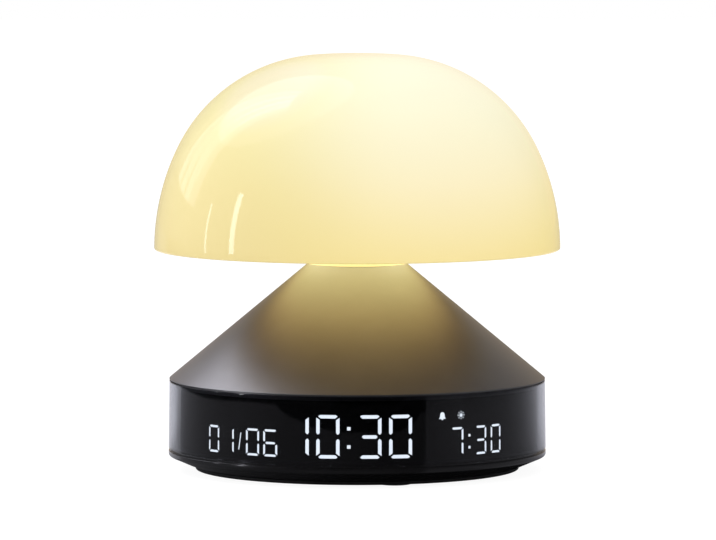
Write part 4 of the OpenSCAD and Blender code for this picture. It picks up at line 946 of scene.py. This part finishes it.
plate_aluminium = material(
    "Brushed aluminium plate", drawn,
    look((0.72, 0.73, 0.74), (0.78, 0.79, 0.80), 0.35, 0.2, 2500.0),
    relief=0.00001, Metallic=1.0,
)
white_mask = material(
    "White circuit board", board_face,
    look((0.80, 0.80, 0.78), (0.70, 0.71, 0.70), 0.35, 0.08, 300.0), relief=0.00002,
)
finish(spring_wire, "stem_clip")
finish(plate_aluminium, "heat_plate")
finish(white_mask, "lamp_led_board")
finish(led("Warm white LED", (1.0, 0.76, 0.36), 2.0), "lamp_leds")
finish(screw_steel, "head_screws")


# ------------------------------------------------------ Underside of the head
# A disc of satin opal plastic, glued under a rib inside the dome. The LEDs above
# it light it, most of all round the stem, and it throws light down on the cone.

disc_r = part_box("shade_disc")[1].x * 1000
lit_disc, tree, surface = empty_material("Lit opal underside")
spot = node(tree, "TexCoord")["Object"]
level = node(
    tree, "VectorMath", {0: spot, 1: (0.93, 1, 0), 2: (0, -0.005, 0)}, operation="MULTIPLY_ADD"
)["Vector"]
away = node(tree, "VectorMath", {0: level}, operation="LENGTH")["Value"]
glow = ramp(tree, between(tree, away, 0.010, 0.0725), [
    (0.0, (0.87, 0.78, 0.42)), (0.10, (0.87, 0.78, 0.42)), (0.23, (0.628, 0.536, 0.213)),
    (0.475, (0.34, 0.235, 0.072)), (0.64, (0.10, 0.06, 0.018)), (0.80, (0.008, 0.005, 0.003)),
    (0.92, (0.005, 0.003, 0.002)), (1.0, (0.002, 0.001, 0.001)),
])
tree.links.new(glow, surface.inputs["Emission Color"])
set_all_over(surface, Emission_Strength=3.0, Base_Color=(0.30, 0.20, 0.13, 1), Roughness=0.4)
disc = turned("head_underside", held(
    [(stem_r + 0.05, disc_z0), (disc_r - 0.4, disc_z0), (disc_r, disc_z0 + 0.4)]
    + [(disc_r, disc_z1), (stem_r + 0.05, disc_z1)]
), steps=200)
work(disc, [drum("hole", hole_r, disc_z0 - 1, disc_z1 + 1, at, steps=24) for at in stem_screws])
fit(disc, lit_disc, "head", "opal_disc", "shade_disc")


# ----------------------------------------------------------------- Dome shade
# A bowl of glossy opal acrylic, two millimetres thick, with a rounded rim and a
# rib inside for the underside. It is lit from within, warm at the rim and paler
# towards the top. Painted light is added to its glow: a paler pool at the front
# right and a whiter spot high on the front left as painted highlights, and painted
# shade that makes the left side darker and warmer.

rim_z, dome_r, dome_t, dome_top = 75.147, 69.0, 2.2, 141.647
side_centre, side_r, side_turn = (-10.242, 75.147), 79.242, 26
shoulder_centre, shoulder_r, shoulder_turn = (10.750, 85.386), 55.886, 86
crown_centre, crown_r = (0.0, -68.353), 210.0


def dome_face(inset, first):
    """Half of the dome's section from the rim to its top, as far inside as inset."""
    points = arc(*side_centre, side_r - inset, first, side_turn, 18)
    points += arc(*shoulder_centre, shoulder_r - inset, side_turn, shoulder_turn, 34)[1:]
    points += arc(*crown_centre, crown_r - inset, shoulder_turn, 90, 6)[1:]
    return points[:-1] + [(0, dome_top - inset)]


inside = dome_face(dome_t, 0)
above_rib = [point for point in inside if point[1] > disc_z1 + 1.2]
below_rib = [point for point in inside if point[1] < disc_z1 - 0.2]
rib_r = side_centre[0] + math.sqrt((side_r - dome_t) ** 2 - (disc_z1 - rim_z) ** 2)
rib = [(rib_r, disc_z1 + 1), (rib_r - 1, disc_z1 + 1), (rib_r - 1.2, disc_z1 + 0.8),
       (rib_r - 1.2, disc_z1), (rib_r, disc_z1)]
dome = turned(
    "dome_bowl",
    above_rib[::-1] + rib + below_rib[::-1]
    + arc(dome_r - 0.8, rim_z + 0.8, 0.8, -90, -6, 6) + dome_face(0, 0.6)[1:],
    steps=256,
)


def along(tree, direction, axis):
    """How far a direction turns towards an axis: the cosine of the angle between them."""
    return node(tree, "VectorMath", {0: direction, 1: axis}, operation="DOT_PRODUCT")["Value"]


lit_dome, tree, surface = empty_material("Lit opal dome")
glow_z0, glow_z1 = 0.0751, 0.1416
spot = node(tree, "TexCoord")["Object"]
height = node(tree, "SeparateXYZ", {"Vector": spot})["Z"]
glow = ramp(tree, between(tree, height, glow_z0, glow_z1), [
    (0.0, (0.48, 0.36, 0.065)), (0.35, (0.50, 0.41, 0.13)), (0.75, (0.50, 0.48, 0.26)),
    (1.0, (0.48, 0.47, 0.30)),
])
outwards = node(tree, "VectorMath", {0: spot, 1: (0, 0, glow_z0)}, operation="SUBTRACT")["Vector"]
outwards = node(tree, "VectorMath", {0: outwards}, operation="NORMALIZE")["Vector"]

# The glow is dim inside. Painted highlight: a paler pool at the front right.
painted_highlight_pool = between(tree, along(tree, outwards, (0.36, -0.62, 0.70)), 0.5, 1.0, ease=True)
painted_highlight_pool = sums(tree, "MULTIPLY", painted_highlight_pool, between(tree, height, glow_z0, 0.10, 0.5, 1.0))
glow = blend(tree, painted_highlight_pool, glow, (0.02, 0.05, 0.18, 1), "ADD")
# Painted shade: the glow is darker and warmer on the left.
painted_left_shade = between(tree, along(tree, outwards, (-1, 0, 0)), -0.3, 0.75, ease=True)
glow = blend(tree, painted_left_shade, glow, (0.67, 0.64, 0.35, 1), "MULTIPLY")
# Painted highlight: a whiter spot high on the front left.
painted_highlight_spot = between(tree, along(tree, outwards, (-0.42, -0.42, 0.80)), 0.94, 0.99, ease=True)
glow = blend(tree, painted_highlight_spot, glow, (0, 0, 0.10, 1), "ADD")
outside = along(tree, node(tree, "TexCoord")["Normal"], outwards)
glow = blend(tree, between(tree, outside, 0.05, 0.6, 0.1, 1.0), (0, 0, 0, 1), glow)
tree.links.new(glow, surface.inputs["Emission Color"])
set_all_over(
    surface, Emission_Strength=1.0, Base_Color=(0.80, 0.72, 0.45, 1), Roughness=0.05,
    Specular_IOR_Level=0.2, Coat_Weight=0.3, Coat_Roughness=0.04,
)
fit(dome, lit_dome, "head", "opal_dome", "dome_shade")


# ------------------------------------------------------------ Table and studio
# A white table and backdrop, a wide round lamp and five strips high behind on the
# left, two thin strips low at that side, and a long lens a little above the
# object. Grey cards round it are seen only in gloss, and on the table gloss sees
# painted reflections of grey cards and a painted shadow.

def bearing_of(tree, direction):
    """The bearing of a direction or place, from 0 to 1, with the front at a half."""
    parts = node(tree, "SeparateXYZ", {"Vector": direction})
    forward = sums(tree, "MULTIPLY", parts["Y"], -1.0)
    return between(tree, sums(tree, "ARCTAN2", parts["X"], forward), -math.pi, math.pi)


def greys(stops):
    """Ramp stops for (bearing in degrees, brightness) pairs."""
    return [((a + 180) / 360, (v, v, 1.1 * v)) for a, v in stops]


bpy.ops.object.select_all(action="DESELECT")
bpy.ops.mesh.primitive_plane_add(size=8, location=(0, 0, 0))
table = bpy.context.active_object
table.name = "table"
paper, tree, surface = empty_material("White paper")
tree.nodes.remove(surface)
rays = node(tree, "LightPath")
spot = node(tree, "TexCoord")["Object"]
bearing = bearing_of(tree, spot)
reach = node(tree, "VectorMath", {0: spot}, operation="LENGTH")["Value"]

# Painted reflections: what gloss sees on the table, by the bearing from the base. These are
# painted grey cards, darker in front, which are not in the scene.
painted_side_reflection = ramp(tree, bearing, greys([
    (-180, 0.95), (-143, 0.83), (-134, 0.78), (-126, 0.62), (-121, 0.5), (40, 0.16), (50, 0.20),
    (60, 0.23), (70, 0.21), (95, 0.24), (108, 0.31), (118, 0.42), (125, 0.50), (131, 0.60),
    (140, 0.70), (180, 0.95),
]))
painted_front_reflection = ramp(tree, bearing, greys([
    (-180, 0.4), (-121, 0.317), (-114, 0.265), (-103, 0.235), (-95, 0.215), (-83, 0.205),
    (-63, 0.184), (-40, 0.13), (-32, 0.121), (-17, 0.112), (0, 0.087), (15, 0.066), (36, 0.07),
    (60, 0.1), (180, 0.4),
]))
# Painted reflection: the table is painted black in front of the base, out to this edge.
painted_black_edge = ramp(tree, bearing, greys([
    (-180, 0.74), (-99, 0.766), (-84, 0.796), (-71, 0.83), (-60, 0.852), (-47, 0.866),
    (-44, 0.812), (-38, 0.752), (-31, 0.718), (-25, 0.664), (-17, 0.652), (-9, 0.626),
    (23, 0.626), (32, 0.706), (36, 0.80), (180, 0.8),
]))
past_edge = sums(tree, "SUBTRACT", reach, sums(tree, "MULTIPLY", painted_black_edge, 0.5))
near = between(tree, past_edge, -0.006, 0.006, 1.0, 0.015)
painted_front_reflection = blend(tree, near, (0, 0, 0, 1), painted_front_reflection)
at = node(tree, "SeparateXYZ", {"Vector": spot})
behind_it = between(tree, at["Y"], -0.0001, 0.0001, 0.0234, 0.0599)
line = sums(tree, "MULTIPLY_ADD", at["X"], 0.74, behind_it)
line = sums(tree, "MULTIPLY_ADD", at["Y"], 0.673, line)
painted_side_reflection = blend(tree, between(tree, reach, 0.36, 0.6, 1.0, 0.35), (0, 0, 0, 1), painted_side_reflection)
painted_reflection_light = blend(tree, between(tree, line, -0.002, 0.002), painted_front_reflection, painted_side_reflection)
# Painted shadow: gloss sees the table under the base dark, because the painted reflections above
# carry no shadow.
painted_shadow_under_base = ramp(tree, bearing, greys([
    (-180, 0.06), (-100, 0.06), (-45, 0.02), (0, 0.004), (90, 0.004), (180, 0.06),
]))
painted_reflection_light = blend(tree, between(tree, reach, 0.058, 0.068), painted_shadow_under_base, painted_reflection_light)
painted_reflection_glow = node(tree, "Emission", {"Color": painted_reflection_light, "Strength": 1.0})["Emission"]
white = node(tree, "BsdfDiffuse", {"Color": (0.8, 0.8, 0.8, 1)})["BSDF"]
shaded = node(tree, "BsdfDiffuse", {"Color": (0.25, 0.25, 0.25, 1)})["BSDF"]
bright = node(tree, "Emission", {"Color": (0.93, 0.93, 0.93, 1), "Strength": 1.0})["Emission"]

# The camera sees white paper with a soft shadow, and nothing of it from below.
seen = node(tree, "AddShader", {0: shaded, 1: bright})["Shader"]
from_below = node(tree, "NewGeometry")["Backfacing"]
clear = node(tree, "BsdfTransparent")["BSDF"]
seen = node(tree, "MixShader", {0: from_below, 1: seen, 2: clear})["Shader"]
lit_table = node(tree, "MixShader", {0: rays["Is Glossy Ray"], 1: white, 2: painted_reflection_glow})["Shader"]
whole = node(tree, "MixShader", {0: rays["Is Camera Ray"], 1: lit_table, 2: seen})["Shader"]
tree.links.new(whole, tree.nodes["Material Output"].inputs["Surface"])
table.data.materials.append(paper)

world = bpy.data.worlds.new("Studio")
bpy.context.scene.world = world
world.use_nodes = True
tree = world.node_tree
rays = node(tree, "LightPath")
plain = tree.nodes["Background"]
set_all_over(plain, Color=(1, 1, 1, 1), Strength=0.6)
backdrop = node(tree, "Background", {"Color": (1, 1, 1, 1), "Strength": 1.0})["Background"]
from_behind = (0.62, 0.49, 0.36)
room_cards = greys([
    (-140, 0.2), (-44, 0.12), (-41, 0.06), (40, 0.06), (43, 0.10), (99, 0.12), (138, 0.18),
])
card_light = ramp(
    tree, bearing_of(tree, node(tree, "TexCoord")["Generated"]),
    [(0, from_behind), (0.055, (0.34, 0.30, 0.28))] + room_cards
    + [(0.93, (0.40, 0.35, 0.30)), (1, from_behind)],
)
cards = node(tree, "Background", {"Color": card_light, "Strength": 1.0})["Background"]
lit_room = node(
    tree, "MixShader", {0: rays["Is Glossy Ray"], 1: plain.outputs["Background"], 2: cards}
)["Shader"]
whole = node(tree, "MixShader", {0: rays["Is Camera Ray"], 1: lit_room, 2: backdrop})["Shader"]
tree.links.new(whole, tree.nodes["World Output"].inputs["Surface"])


def soft_lamp(name, bearing, height, distance, size, radiance, shape="RECTANGLE"):
    """An area lamp that faces the dome, placed by its bearing from the front and its height,
    in degrees. Its size is in metres, and its light is given as the brightness of its face."""
    a, e = math.radians(bearing), math.radians(height)
    lamp = bpy.data.lights.new(name, "AREA")
    lamp.shape, lamp.size, lamp.size_y = shape, size[0], size[-1]
    area = size[0] * size[-1] * (math.pi / 4 if shape == "DISK" else 1)
    lamp.energy = radiance * area * math.pi
    lamp.color = (0.9, 0.9, 1.0)
    box = bpy.data.objects.new(name, lamp)
    box.location = (
        distance * math.cos(e) * math.sin(a),
        -distance * math.cos(e) * math.cos(a),
        0.1 + distance * math.sin(e),
    )
    box.rotation_euler = (math.pi / 2 - e, 0, a)
    box.visible_camera = False
    bpy.context.scene.collection.objects.link(box)


soft_lamp("Overhead lamp", -122, 57, 2.0, (2.0,), 0.85, "DISK")
for bearing_deg, brightness in ((-143, 0.15), (-135, 0.9), (-127, 1.2), (-119, 1.6), (-112, 1.1)):
    soft_lamp("Left strip", bearing_deg, 36, 1.5, (0.19, 1.5), brightness)
soft_lamp("Thin strip", -92.5, 2.5, 0.9, (0.02, 0.34), 5.5)
soft_lamp("Narrow strip", -73, 8, 0.95, (0.055, 0.44), 8.5)

lens = bpy.data.cameras.new("Long lens")
lens.lens, lens.sensor_width, lens.shift_x = 325.4, 36, 0.0011
camera = bpy.data.objects.new("Long lens", lens)
eye_back, eye_height, aim_height = 2.1935, 0.2368, 0.068
camera.location = (0, -eye_back, eye_height)
camera.rotation_euler = (math.atan2(eye_back, eye_height - aim_height), 0, 0)
bpy.context.scene.collection.objects.link(camera)
bpy.context.scene.camera = camera
bpy.context.scene.view_settings.view_transform = "Standard"
